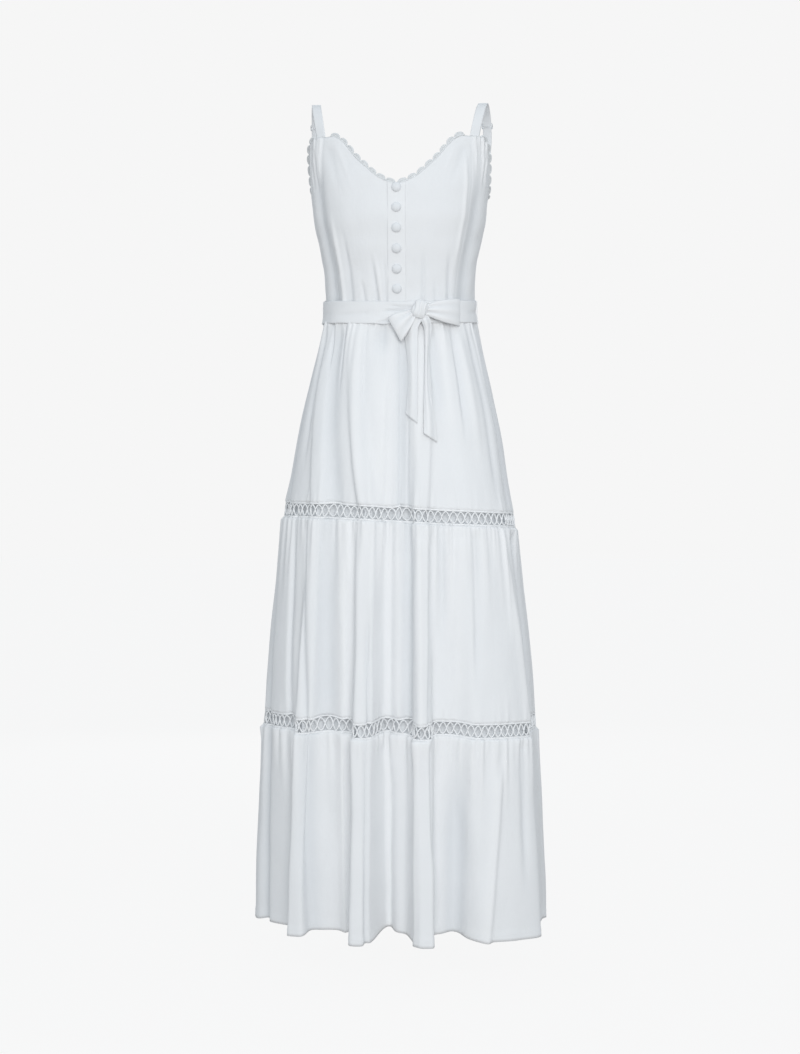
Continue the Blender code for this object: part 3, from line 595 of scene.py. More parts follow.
CREASES = {
    "upper": table(
        Crease,
        (-80, -74, -0.350, -0.70, -0.0095, 0.0140, 0.3, 0.03),
        (-66, -60, -0.360, -0.62, -0.0040, 0.0060, 0.3, 0.03, 0.10),
        (-54, -34.5, -0.350, -0.70, -0.0070, 0.0165, 0.1, 0.04),
        (-47, -41, -0.345, -0.50, -0.0030, 0.0030, 0.0, 0.01, 0.08),
        (-60, -52, -0.345, -0.46, -0.0030, 0.0030, 0.3, 0.01, 0.06),
        (-36, -21, -0.345, -0.68, 0.0022, 0.0080, -0.3, 0.03, 0.06),
        (-29, -17, -0.350, -0.64, -0.0030, 0.0060, 0.0, 0.03, 0.10),
        (-12, -8, -0.420, -0.70, 0.0030, 0.0160, 0.0, 0.08, 0.05),
        (-14, -12, -0.352, -0.420, -0.0080, 0.0120, 0.0, 0.02, 0.04),
        (3.6, 2.6, -0.352, -0.70, -0.0095, 0.0120, -0.3, 0.03),
        (9.5, 6.8, -0.480, -0.70, -0.0022, 0.0020, 0.0, 0.06),
        (16, 12, -0.355, -0.62, 0.0050, 0.0100, 0.0, 0.04, 0.10),
        (29, 29.5, -0.352, -0.54, -0.0065, 0.0095, -0.2, 0.03, 0.08),
        (38, 36, -0.350, -0.60, 0.0030, 0.0100, 0.0, 0.03, 0.12),
        (47.5, 44, -0.350, -0.57, -0.0055, 0.0060, -0.4, 0.02, 0.10),
        (53, 52, -0.370, -0.62, 0.0025, 0.0080, 0.0, 0.03, 0.12),
        (64, 60, -0.360, -0.66, -0.0030, 0.0070, 0.0, 0.03, 0.08),
        (76, 79, -0.352, -0.70, -0.0100, 0.0125, -0.3, 0.03),
    ),
    "middle": table(
        Crease,
        (-78, -74, -0.680, -1.01, -0.0060, 0.0110, 0.2),
        (-62, -57, -0.680, -1.01, -0.0050, 0.0060, -0.3),
        (-52, -43, -0.690, -1.01, -0.0045, 0.0060, 0.0, 0.02),
        (-40, -37.5, -0.680, -1.01, -0.0080, 0.0170),
        (-31, -29, -0.680, -1.01, 0.0032, 0.0080, 0.4),
        (-22, -20, -0.680, -0.90, 0.0020, 0.0100, 0.0, 0.01, 0.10),
        (-14, -12, -0.800, -1.01, -0.0060, 0.0060, 0.3, 0.10),
        (7.5, 7, -0.680, -1.01, -0.0090, 0.0100, -0.2),
        (14, 13, -0.700, -1.01, 0.0035, 0.0060, 0.0, 0.03),
        (20, 17.5, -0.760, -1.01, -0.0060, 0.0060, -0.3, 0.10),
        (28.5, 27, -0.680, -0.90, -0.0050, 0.0060, 0.2, 0.001, 0.12),
        (36, 33, -0.700, -0.99, 0.0025, 0.0090, 0.0, 0.03, 0.06),
        (44, 40, -0.690, -0.97, -0.0035, 0.0060, -0.3, 0.02, 0.12),
        (60, 66, -0.690, -1.01, 0.0030, 0.0080, 0.3, 0.02),
        (72, 79, -0.690, -1.01, -0.0090, 0.0130, 0.0, 0.02),
    ),
    "lower": table(
        Crease,
        (-72, -70, -1.020, -1.34, -0.0090, 0.0110, 0.2),
        (-53, -51, -1.020, -1.34, 0.0050, 0.0100, 0.0, 0.03),
        (-42, -40, -1.020, -1.34, -0.0110, 0.0150),
        (-30, -28, -1.020, -1.34, 0.0050, 0.0060, 0.4),
        (-21, -21, -1.030, -1.26, -0.0045, 0.0045, 0.2, 0.02, 0.12),
        (-13, -12, -1.020, -1.34, -0.0050, 0.0060, 0.3),
        (10.5, 10.2, -1.020, -1.34, 0.0040, 0.0055, -0.4),
        (18, 18, -1.020, -1.24, -0.0035, 0.0045, 0.0, 0.02, 0.12),
        (33, 32, -1.022, -1.34, -0.0100, 0.0150, -0.2, 0.16),
        (50, 42, -1.050, -1.34, 0.0050, 0.0080, 0.4, 0.06),
        (60, 58, -1.020, -1.28, -0.0045, 0.0070, 0.0, 0.02, 0.12),
        (72, 72, -1.020, -1.34, -0.0045, 0.0070, 0.2, 0.02),
    ),
}
HIDDEN_CREASES = 11
HIDDEN_FROM = 98
HIDDEN_SPAN = 164


def back_creases(tier, seed):
    """Creases for the sides and back, as uneven as those of the front."""
    draw = np.random.default_rng(seed)
    table = []
    for i in range(HIDDEN_CREASES):
        turn = HIDDEN_FROM + (HIDDEN_SPAN * (i + draw.uniform(0.1, 0.9))) / HIDDEN_CREASES
        top = tier.top - draw.uniform(0.0, 0.08)
        low = tier.low - 0.01 + draw.uniform(0.0, 0.10) * (i % 3 > 0)
        depth = draw.uniform(0.0025, 0.0055) * (-1 if i % 4 else 0.6)
        shift = draw.uniform(-3, 3)
        width = draw.uniform(0.005, 0.011)
        table.append(Crease(turn, turn + shift, top, low, depth, width, shift / 8, 0.03, 0.03))
    return table


def rumple(place, size, seed):
    """Soft random dents, the same each run."""
    shift = np.array([seed * 7.31, seed * 3.17, seed * 5.77])
    points = (place / size + shift).reshape(-1, 3)
    values = [noise.noise(point) for point in points]
    return np.array(values).reshape(place.shape[:-1])


TIER_DENT = 0.0014
TIER_DENT_SIZE = 0.035
HEM_TURN = 0.014
HEM_DOUBLED = 0.0006
FOLD_DROP = 0.35
STITCH_LIFT = 0.0001
SEWN_ROWS = {"upper": (1,), "middle": (1, -2), "lower": (2, -2)}


def tier_relief(laid, tier, seed):
    """The tier's creases, and its creases with soft dents added."""
    folds = crease_relief(laid, CREASES[tier.name] + back_creases(tier, seed))
    return folds, folds + TIER_DENT * rumple(laid.place * (1, 1, 0.45), TIER_DENT_SIZE, seed)


def skirt_tier(tier, seed):
    """One tier, all round. Returns the lines where it is sewn."""
    share = np.linspace(0, 1, tier.rows + 1)
    levels = tier.low + (tier.top - tier.low) * share
    laid = lay(levels, tier.front_columns, tier.back_columns)
    folds, relief = tier_relief(laid, tier, seed)
    gathers = sum(gather_relief(laid, gather) for gather in GATHERS[tier.name])
    relief += gathers
    # painted shade in the troughs of creases and gathers, and painted highlight on their ridges
    hollow = relief_painted_shading(folds, gathers)
    if tier.name == "lower":
        relief += HEM_DOUBLED * (laid.level < HEM + HEM_TURN)
    place = laid.place + laid.normal * relief[..., None]
    place[..., 2] -= FOLD_DROP * relief * smooth_step((tier.top - laid.level) / 0.2)
    across = np.append(laid.share, 2.0) * tier.cut_width / 2
    name = f"{tier.name}_tier"
    piece = grid_mesh(name, place, across, levels - HEM, True, cloth, hollow, cloth_inside)
    thicken(piece, CLOTH_SHELL)
    stand_for(piece, "cloth", f"skirt_{tier.name}_front", f"skirt_{tier.name}_back")
    tier.top - tier.low
    print(piece.name, "has", len(piece.data.polygons), "quads")
    lifted = place + laid.normal * STITCH_LIFT
    return [(lifted[row], True) for row in SEWN_ROWS[tier.name]]


sewn_lines = [skirt_tier(tier, seed + 1) for seed, tier in enumerate(TIERS)]

# %% [markdown]
# ## Cords and stitches
# Crochet and sewing are both thread that follows a line. Geometry Nodes suit them: one tree
# turns lines into round cord, another sets short stitches along lines at an even spacing.
# Both end as plain meshes, because the export keeps no instances. The tiers' own stitches
# follow here.

# %% Cord and stitch trees
def lines_tree(name, **inputs):
    """A new Geometry Nodes tree. Returns its inputs: a mesh of lines, then the named ones."""
    group = bpy.data.node_groups.new(name, "GeometryNodeTree")
    sockets = [("Lines", "INPUT", "Geometry", None)]
    sockets += [(socket, "INPUT", kind, value) for socket, (kind, value) in inputs.items()]
    sockets += [("Mesh", "OUTPUT", "Geometry", None)]
    for socket, way, kind, value in sockets:
        made = group.interface.new_socket(socket, in_out=way, socket_type=f"NodeSocket{kind}")
        if value is not None:
            made.default_value = value
    start = group.nodes.new("NodeGroupInput")
    return [Socket(group, output) for output in start.outputs[: len(inputs) + 1]]


def finish_tree(geometry, finish):
    """Makes a tree's result a real, smooth mesh with its material. Returns the tree."""
    real = geometry.node("GeometryNodeRealizeInstances", Geometry=geometry)
    smooth = geometry.node("GeometryNodeSetShadeSmooth", Geometry=real)
    done = geometry.node("GeometryNodeSetMaterial", Geometry=smooth, Material=finish)
    geometry.node("NodeGroupOutput", Mesh=done)
    return geometry.tree


def cord_tree():
    lines, radius, sides, finish = lines_tree(
        "cord along lines",
        Radius=("Float", 0.001),
        Sides=("Int", 6),
        Finish=("Material", None),
    )
    curve = lines.node("GeometryNodeMeshToCurve", Mesh=lines)
    circle = lines.node("GeometryNodeCurvePrimitiveCircle", Resolution=sides, Radius=radius)
    tube = lines.node(
        "GeometryNodeCurveToMesh", Curve=curve, Profile_Curve=circle, Fill_Caps=True
    )
    return finish_tree(tube, finish)


def stitch_tree():
    lines, spacing, length, thickness, finish = lines_tree(
        "stitches along lines",
        Spacing=("Float", 0.003),
        Length=("Float", 0.0021),
        Thickness=("Float", 0.0005),
        Finish=("Material", None),
    )
    curve = lines.node("GeometryNodeMeshToCurve", Mesh=lines)
    by_length = {"mode": "LENGTH"}
    points = lines.node("GeometryNodeResampleCurve", by_length, Curve=curve, Length=spacing)
    ball = lines.node("GeometryNodeMeshUVSphere", Segments=5, Rings=3, Radius=0.5)
    size = lines.node("ShaderNodeCombineXYZ", X=thickness, Y=thickness, Z=length)
    tangent = lines.node("GeometryNodeInputTangent")
    turned = lines.node("FunctionNodeAlignRotationToVector", {"axis": "Z"}, Vector=tangent)
    set_along = lines.node(
        "GeometryNodeInstanceOnPoints", Points=points, Instance=ball, Rotation=turned, Scale=size
    )
    return finish_tree(set_along, finish)


CORD = cord_tree()
STITCH = stitch_tree()
Stitch = namedtuple("Stitch", "spacing length thickness")
SEWING = {
    "tier": Stitch(0.0034, 0.0023, 0.00045),
    "bodice": Stitch(0.0030, 0.0020, 0.00045),
    "placket": Stitch(0.0030, 0.0020, 0.00026),
    "strap": Stitch(0.0026, 0.0018, 0.0005),
}


def line_mesh(name, lines):
    """A mesh of edges through each line's points. A line is (points, closed)."""
    points, edges = [], []
    for line, closed in lines:
        first = len(points)
        points.extend(np.asarray(line).tolist())
        last = len(points) - 1
        edges.extend((i, i + 1) for i in range(first, last))
        if closed:
            edges.append((last, first))
    mesh = bpy.data.meshes.new(name)
    mesh.from_pydata(points, edges, [])
    return mesh


def run_tree(name, group, lines, **inputs):
    """Runs a tree on lines and keeps the result as a plain mesh."""
    guide = add_object(f"{name}_guide", line_mesh(f"{name}_guide", lines))
    modifier = guide.modifiers.new("lines", "NODES")
    modifier.node_group = group
    for item in group.interface.items_tree:
        if item.in_out == "INPUT" and item.name in inputs:
            modifier[item.identifier] = inputs[item.name]
    seen = guide.evaluated_get(bpy.context.evaluated_depsgraph_get())
    mesh = bpy.data.meshes.new_from_object(seen)
    mesh.name = name
    bpy.data.objects.remove(guide, do_unlink=True)
    return add_object(name, mesh)


def cords(name, lines, radius, finish, sides=6):
    return run_tree(name, CORD, lines, Radius=radius, Sides=sides, Finish=finish)


def stitches(name, lines, kind):
    size = {part.title(): value for part, value in SEWING[kind]._asdict().items()}
    stand_for(run_tree(name, STITCH, lines, Finish=thread, **size), "cloth")


def join(name, pieces):
    """One piece from several plain ones."""
    mesh = bpy.data.meshes.new(name)
    points, faces, start = [], [], 0
    for piece in pieces:
        count = len(piece.data.vertices)
        flat = np.empty(count * 3)
        piece.data.vertices.foreach_get("co", flat)
        points.append(flat.reshape(-1, 3))
        faces.extend([[start + i for i in face.vertices] for face in piece.data.polygons])
        start += count
    mesh.from_pydata(np.concatenate(points).tolist(), [], faces)
    mesh.materials.append(pieces[0].data.materials[0])
    mesh.shade_smooth()
    for piece in pieces:
        bpy.data.objects.remove(piece, do_unlink=True)
    return add_object(name, mesh)


for tier, lines in zip(TIERS, sewn_lines):
    stitches(f"{tier.name}_tier_stitches", lines, "tier")
print("trees:", CORD.name, "and", STITCH.name)

# %% [markdown]
# ## Crochet bands
# Each band is a guilloche: two cords swing from rail to rail and cross between every two
# rings, so a row of round openings is left, with small three-cornered ones above and below.
# The rails are a double cord. The rings are finer than the holes in the solids, which have to
# be few. A plain strip bows inwards behind each band, greyed all over with painted shade: it
# is the shaded cloth that the photograph shows through the openings. Band and strip follow the
# creases of both tiers.

# %% Crochet bands
Band = namedtuple("Band", "number middle rings")
BANDS = [Band(1, BAND_1, 48), Band(2, BAND_2, 66)]
RING_STEPS = 8
RING_SWING = 0.0086
RING_FULLNESS = 0.80
CORD_RADIUS = 0.00110
RAIL_RADIUS = 0.00105
RAIL_GAP = 0.0012
RAIL_PAST = 0.0006
RAIL_OUT = 0.0004
OVER_UNDER = 0.0006
BACKING_ROWS = 8
BACKING_COLUMNS = 220
BACKING_DEPTH = 0.0100
BACKING_SEAM = 0.0024
BACKING_LAP = 0.0025
# painted shade that greys the whole strip behind the lace
BACKING_PAINTED_SHADE = 0.24


def lay_band(band, heights, columns):
    """A closed grid between two tiers, whose edges stand out as far as the cloth there."""
    laid = lay(band.middle + heights, columns, columns)
    upper, lower = TIERS[band.number - 1], TIERS[band.number]
    at_top = laid._replace(level=np.full_like(laid.level, upper.low))
    at_low = laid._replace(level=np.full_like(laid.level, lower.top))
    above = tier_relief(at_top, upper, band.number)[1][-1]
    below = tier_relief(at_low, lower, band.number + 1)[1][0]
    share = np.linspace(0, 1, len(heights))[:, None]
    place = laid.place + laid.normal * (below * (1 - share) + above * share)[..., None]
    place[..., 2] -= FOLD_DROP * above * share
    return laid._replace(place=place)


def band_lines(band):
    """The swinging cords and the rails of a band, as closed lines on the cloth."""
    half = BAND_HEIGHT / 2
    heights = np.linspace(-half, half, 5)
    laid = lay_band(band, heights, band.rings * RING_STEPS)
    at = laid.share * band.rings

    def line(height, out):
        """A closed line at a height above the band's middle and a distance out."""
        row = (np.broadcast_to(height, at.shape) + half) / (heights[1] - heights[0])
        low = np.clip(row.astype(int), 0, len(heights) - 2)
        part = (row - low)[:, None]
        across = np.arange(len(at))
        place = laid.place[low, across] * (1 - part) + laid.place[low + 1, across] * part
        return place + laid.normal[2] * np.reshape(out, (-1, 1)), True

    swing = np.sin(math.pi * at)
    swing = RING_SWING * np.sign(swing) * np.abs(swing) ** RING_FULLNESS
    weave = OVER_UNDER * np.cos(math.pi * at)
    nets = [line(swing, weave - CORD_RADIUS), line(-swing, -weave - CORD_RADIUS)]
    out = np.full(len(at), RAIL_OUT - RAIL_RADIUS)
    heights_of_rails = (half + RAIL_PAST, half + RAIL_PAST - RAIL_GAP)
    return nets, [line(way * height, out) for way in (1, -1) for height in heights_of_rails]


def crochet_band(band):
    nets, rails = band_lines(band)
    name = f"crochet_band_{band.number}"
    net = cords(f"{name}_net", nets, CORD_RADIUS, lace)
    rail = cords(f"{name}_rail", rails, RAIL_RADIUS, lace)
    piece = join(name, [net, rail])
    stand_for(piece, "lace", f"lace_band_{band.number}_front", f"lace_band_{band.number}_back")
    print(name, "has", band.rings * 2, "rings and", len(piece.data.polygons), "faces")


def lace_backing(band):
    """A plain strip in the same two seams, which bows inwards behind the lace."""
    half = BAND_HEIGHT / 2
    heights = np.linspace(-half, half, BACKING_ROWS + 1)
    laid = lay_band(band, heights, BACKING_COLUMNS)
    bow = BACKING_DEPTH * np.cos(math.pi / 2 * heights / half) ** 0.5 + BACKING_SEAM
    place = laid.place - laid.normal * bow[:, None, None]
    place[..., 2] += BACKING_LAP * (heights / half)[:, None]
    girth = float(laid.run[0, -1])
    tall = float(np.linalg.norm(np.diff(place[:, 0], axis=0), axis=1).sum())
    across = np.append(laid.share, 2.0) * girth / 2
    along = np.linspace(0, tall, BACKING_ROWS + 1)
    # painted shade: the strip's colour is greyed evenly all over
    strip_painted_shade = np.full(laid.level.shape, BACKING_PAINTED_SHADE)
    name = f"lace_backing_{band.number}"
    piece = grid_mesh(name, place, across, along, True, cloth, strip_painted_shade, cloth_inside)
    thicken(piece, CLOTH_SHELL)
    stand_for(piece, "cloth")
    print(name, "is", round(girth, 3), "m round and", round(tall, 3), "m high")


for band in BANDS:
    crochet_band(band)
    lace_backing(band)

# %% [markdown]
# ## Bodice
# Five panels are laid as one tube, with a fine groove where two panels meet. Its top edge
# dips to a V, climbs to the straps and falls to the armholes. Under each strap the cloth is
# gathered, and small tucks open upwards from the waist.

# %% Bodice
BODICE_ROWS = 74
BODICE_COLUMNS = 500
BODICE_CUT_WIDTH = 0.92
BODICE_DENT = 0.0011
EdgePoint = namedtuple("EdgePoint", "turn level")
TOP_EDGE = table(
    EdgePoint,
    (0, -0.149),
    (15, -0.136),
    (31, -0.108),
    (52, -0.066),
    (63, -0.066),
    (72, -0.078),
    (80, -0.099),
    (90, -0.134),
    (101, -0.152),
    (180, -0.153),
)
PANEL_HEIGHT = 0.24
STRAP_GATHERS = 8
STRAP_GATHERS_FROM = 57.5
STRAP_GATHERS_SPAN = 13.0
PLACKET_EDGE = 0.013
PLACKET_EASE = 0.006
PLACKET_DAMPING = 0.85
BODICE_CREASES = table(
    Crease,
    (-57.0, -58.0, -0.060, -0.350, -0.0006, 0.0012),
    (57.0, 53.0, -0.060, -0.350, -0.0006, 0.0012),
    (-90.0, -90.0, -0.060, -0.350, -0.0006, 0.0012),
    (90.0, 90.0, -0.060, -0.350, -0.0006, 0.0012),
    (-51.0, -50.0, -0.180, -0.350, 0.0030, 0.0055, 0.2, 0.06),
    (-62.0, -61.0, -0.095, -0.350, -0.0058, 0.0130, -0.2, 0.07),
    (-43.0, -42.0, -0.205, -0.350, -0.0026, 0.0052, 0.2, 0.06),
    (-23.0, -17.5, -0.245, -0.350, -0.0030, 0.0036, 0.3, 0.05),
    (-20.0, -13.5, -0.245, -0.350, 0.0018, 0.0036, 0.0, 0.05),
    (-33.0, -29.0, -0.285, -0.350, -0.0018, 0.0028, 0.0, 0.02),
    (-11.5, -11.0, -0.250, -0.350, -0.0016, 0.0028, 0.0, 0.03),
    (23.0, 26.0, -0.240, -0.350, -0.0024, 0.0034, 0.0, 0.04),
    (34.0, 38.0, -0.285, -0.350, -0.0016, 0.0030, 0.0, 0.03),
    (44.0, 49.0, -0.240, -0.350, -0.0026, 0.0045, 0.0, 0.04),
    (63.0, 62.0, -0.110, -0.350, -0.0062, 0.0150, 0.1, 0.08),
    (52.0, 50.0, -0.090, -0.300, 0.0020, 0.0040, 0.0, 0.03, 0.08),
    (-54.0, -40.0, -0.076, -0.175, -0.0015, 0.0090, 0.0, 0.015, 0.08),
    (-47.0, -30.0, -0.082, -0.175, 0.0010, 0.0090, 0.0, 0.015, 0.08),
    (53.0, 38.0, -0.076, -0.165, -0.0015, 0.0090, 0.0, 0.015, 0.08),
    (46.0, 30.0, -0.082, -0.160, 0.0010, 0.0090, 0.0, 0.015, 0.08),
    (130.0, 136.0, -0.230, -0.350, -0.0024, 0.0045, 0.0, 0.05),
    (160.0, 158.0, -0.250, -0.350, -0.0020, 0.0040, 0.0, 0.05),
    (196.0, 199.0, -0.240, -0.350, -0.0024, 0.0045, 0.0, 0.05),
    (228.0, 224.0, -0.230, -0.350, -0.0020, 0.0040, 0.0, 0.05),
    (112.0, 104.0, -0.170, -0.260, -0.0016, 0.0090, 0.0, 0.03, 0.05),
    (248.0, 257.0, -0.170, -0.260, -0.0016, 0.0090, 0.0, 0.03, 0.05),
)


def top_edge(turn):
    """The level of the bodice's top edge at a turn from -90 to 270."""
    around = np.abs((np.asarray(turn) + 180) % 360 - 180)
    return smooth_through(column(TOP_EDGE, "turn"), column(TOP_EDGE, "level"), around)


def strap_gathers():
    """Short vertical ridges under each strap's end."""
    draw = np.random.default_rng(41)
    table = []
    for side in (-1, 1):
        for i in range(STRAP_GATHERS):
            at = (i + draw.uniform(0.2, 0.8)) / STRAP_GATHERS
            turn = side * (STRAP_GATHERS_FROM + STRAP_GATHERS_SPAN * at)
            low = -0.066 - draw.uniform(0.045, 0.105)
            depth = draw.uniform(0.0026, 0.0054)
            table.append(Crease(turn, turn * 1.03, -0.058, low, depth, 0.0020, 0.0, 0.006, 0.06))
    return table


def lay_bodice():
    """A closed grid from the waist up to the top edge."""
    fine = np.linspace(-90, 270, 4 * FINE_STEPS)
    run = run_along(cloth_point(fine, -0.2))
    turns = np.interp(np.arange(BODICE_COLUMNS) / BODICE_COLUMNS * run[-1], run, fine)
    up = np.linspace(0, 1, BODICE_ROWS + 1)[:, None]
    turn = np.broadcast_to(turns, (BODICE_ROWS + 1, BODICE_COLUMNS))
    level = WAIST + (top_edge(turn) - WAIST) * up
    place = cloth_point(turn, level)
    around = np.concatenate([place[:, -1:], place, place[:, :1]], axis=1)
    along = around[:, 2:, :2] - around[:, :-2, :2]
    normal = unit(np.stack([along[..., 1], -along[..., 0], np.zeros(turn.shape)], axis=-1))
    steps = np.linalg.norm(place - around[:, :-2], axis=-1)
    steps[:, 0] = 0
    share = np.arange(BODICE_COLUMNS) / BODICE_COLUMNS * 2
    return Laid(place, normal, turn, np.cumsum(steps, axis=1), share, level)


bodice_cloth = lay_bodice()
folds = crease_relief(bodice_cloth, BODICE_CREASES)
gathers = crease_relief(bodice_cloth, strap_gathers())
gathers += gather_relief(bodice_cloth, Gather(WAIST, -1, 60, 0.0020, 0.0026, 0.070, 42))
relief = folds + gathers + BODICE_DENT * rumple(bodice_cloth.place, 0.030, 43)
front = bodice_cloth.place[..., 1] < 0
off_placket = (np.abs(bodice_cloth.place[..., 0]) - PLACKET_EDGE) / PLACKET_EASE
relief = relief * (1 - PLACKET_DAMPING * front * (1 - smooth_step(off_placket)))
# painted shade in the creases, painted highlight on the gathers' ridges, and a faint painted grey
# elsewhere
bodice = grid_mesh(
    "bodice",
    bodice_cloth.place + bodice_cloth.normal * relief[..., None],
    np.linspace(0, BODICE_CUT_WIDTH, BODICE_COLUMNS + 1),
    np.linspace(0, PANEL_HEIGHT, BODICE_ROWS + 1),
    True,
    cloth,
    relief_painted_shading(folds * 1.6, gathers - 0.001),
    cloth_inside,
)
thicken(bodice, CLOTH_SHELL)
panels = ["front_left", "front_right", "side_left", "side_right", "back"]
stand_for(bodice, "cloth", *[f"bodice_{panel}" for panel in panels])
print("bodice has", len(bodice.data.polygons), "quads")
lifted = bodice_cloth.place + bodice_cloth.normal * (relief[..., None] + STITCH_LIFT)
stitches("bodice_edge_stitches", [(lifted[-3], True)], "bodice")

# %% [markdown]
# ## Placket and buttons
# The button edge is a strip of its own, folded and stitched down both sides. The buttons are
# domes covered with the same cloth, pulled tight under the rim.

# %% Placket and buttons
PLACKET_HALF = 0.0150
PLACKET_PROUD = 0.0005
PLACKET_ROWS = 60
PLACKET_COLUMNS = 16
BUTTONS = 6
BUTTON_TOP = -0.1532
BUTTON_PITCH = 0.0302
BUTTON_RADIUS = 0.0077
BUTTON_HEIGHT = 0.0058
BUTTON_SEAT = 0.0004
BUTTON_COLUMNS = 36
PUCKER = 0.012
DomeRow = namedtuple("DomeRow", "reach rise")
DOME = table(
    DomeRow,
    (0.60, -0.05),
    (0.88, 0.04),
    (1.0, 0.20),
    (0.97, 0.38),
    (0.88, 0.57),
    (0.74, 0.73),
    (0.58, 0.85),
    (0.40, 0.94),
    (0.20, 0.985),
    (0.02, 1.0),
)


def placket():
    across = np.linspace(-1, 1, PLACKET_COLUMNS + 1)
    place = []
    for up in np.linspace(0, 1, PLACKET_ROWS + 1):
        level = np.full(PLACKET_COLUMNS + 1, WAIST)
        for _ in range(4):
            depth = at_level(SECTIONS, "front_depth", level)
            turn = np.degrees(np.arctan(across * PLACKET_HALF / depth))
            level = WAIST + (top_edge(turn) - WAIST) * up
        place.append(cloth_point(turn, level, PLACKET_PROUD * (1.0 - 0.8 * across ** 4)))
    place = np.array(place)
    place[..., 1] -= 0.0003 * rumple(place * (1, 1, 0.6), 0.018, 51)
    along = np.linspace(0, TOP_EDGE[0].level - WAIST, PLACKET_ROWS + 1)
    piece = grid_mesh("placket", place, across * PLACKET_HALF, along, False, cloth)
    thicken(piece, PLACKET_PROUD + 0.0002)
    stand_for(piece, "cloth", "button_placket")
    lines = [(place[2:-3, edge], False) for edge in (1, -2)]
    stitches("placket_stitches", lines, "placket")
    print("placket is", PLACKET_HALF * 2000, "mm wide")


def button(number):
    """A covered button: a dome whose rim turns in, on a short neck."""
    level = BUTTON_TOP - (number - 1) * BUTTON_PITCH
    middle = cloth_point(0.0, level)
    up = unit(cloth_point(0.0, level + 0.004) - cloth_point(0.0, level - 0.004))
    right = np.array([1.0, 0.0, 0.0])
    out = np.cross(right, up)
    turns = np.linspace(0, 2 * math.pi, BUTTON_COLUMNS, endpoint=False)
    side = right * np.cos(turns)[:, None] + up * np.sin(turns)[:, None]
    rings = []
    for row in DOME:
        pucker = 1 + PUCKER * np.sin(turns * BUTTON_COLUMNS / 2 + number) * (row.rise < 0.3)
        ring = middle + side * (row.reach * BUTTON_RADIUS * pucker)[:, None]
        rings.append(ring + out * (PLACKET_PROUD + BUTTON_SEAT + row.rise * BUTTON_HEIGHT))
    place = np.array(rings)
    around = np.linspace(0, 2 * math.pi * BUTTON_RADIUS, BUTTON_COLUMNS + 1)
    along = np.array(column(DOME, "rise")) * BUTTON_HEIGHT
    piece = grid_mesh(f"covered_button_{number}", place, around, along, True, button_cloth)
    stand_for(piece, "button_cloth", f"button_{number}")


placket()
for number in range(1, BUTTONS + 1):
    button(number)

# %% [markdown]
# ## Scalloped edging
# The neckline and the armholes carry a crochet edging: one little fan after another, each an
# arch of thick cord round a small eyelet, filled with spokes. The fans are drawn flat and
# bent along the top edge of the bodice.

# %% Scalloped edging
Edging = namedtuple("Edging", "name turn_from turn_to fans flare node")
EDGINGS = [
    Edging("neck", 1.0, 52.5, 8, 5.0, "neck_trim"),
    Edging("armhole", 63.5, 103.0, 7, 48.0, "armhole_trim"),
]
FAN_RISE = 0.0044
FAN_WIDTH = 0.80
FAN_BASE = 0.0008
FAN_ARCH_RADIUS = 0.00130
FAN_SPOKE_RADIUS = 0.00100
FAN_SPOKES = 9
FAN_STEPS = 12
EYELET_STEPS = 10
EYELET_PLACE = 0.0017
EYELET_RISE = 0.0011
EYELET_SHARE = 0.15
SPOKE_ROOT_SHARE = 0.17
EDGE_STEPS = 600
LACE_SINK = 0.0007


def edge_frame(edging, way):
    """The edge line, finely stepped, with its run and the vectors away from the cloth."""
    turns = np.linspace(edging.turn_from, edging.turn_to, EDGE_STEPS) * way
    line = cloth_point(turns, top_edge(turns))
    out = unit(level_normals(line) * way)
    away = unit(np.cross(out, np.gradient(line, axis=0) * way))
    flare = math.radians(edging.flare)
    flared = away * math.cos(flare) + out * math.sin(flare)
    return line, run_along(line), out * math.cos(flare) - away * math.sin(flare), flared


def fan_lines(width):
    """One fan drawn flat: its arch, its eyelet and its spokes, as (x, y) points."""

    def arc(turn, reach, base, rise, fullness=1.0):
        x, y = -np.cos(turn) * width * reach, base + np.sin(turn) ** fullness * rise
        return np.stack([x, y], axis=-1)

    arch = arc(np.linspace(0, math.pi, FAN_STEPS + 1), 0.5, FAN_BASE, FAN_RISE, 0.8)
    around = math.pi - np.linspace(0, 2 * math.pi, EYELET_STEPS, endpoint=False)
    middle = FAN_BASE + EYELET_PLACE
    eyelet = arc(around, EYELET_SHARE, middle, EYELET_RISE)
    turns = math.pi * np.arange(1, FAN_SPOKES + 1) / (FAN_SPOKES + 1)
    tips = arc(turns, 0.5, FAN_BASE, FAN_RISE, 0.8)
    roots = arc(turns, SPOKE_ROOT_SHARE, middle, EYELET_RISE)
    spokes = [np.array([root, (root + tip) / 2, tip]) for root, tip in zip(roots, tips)]
    return arch, eyelet, spokes


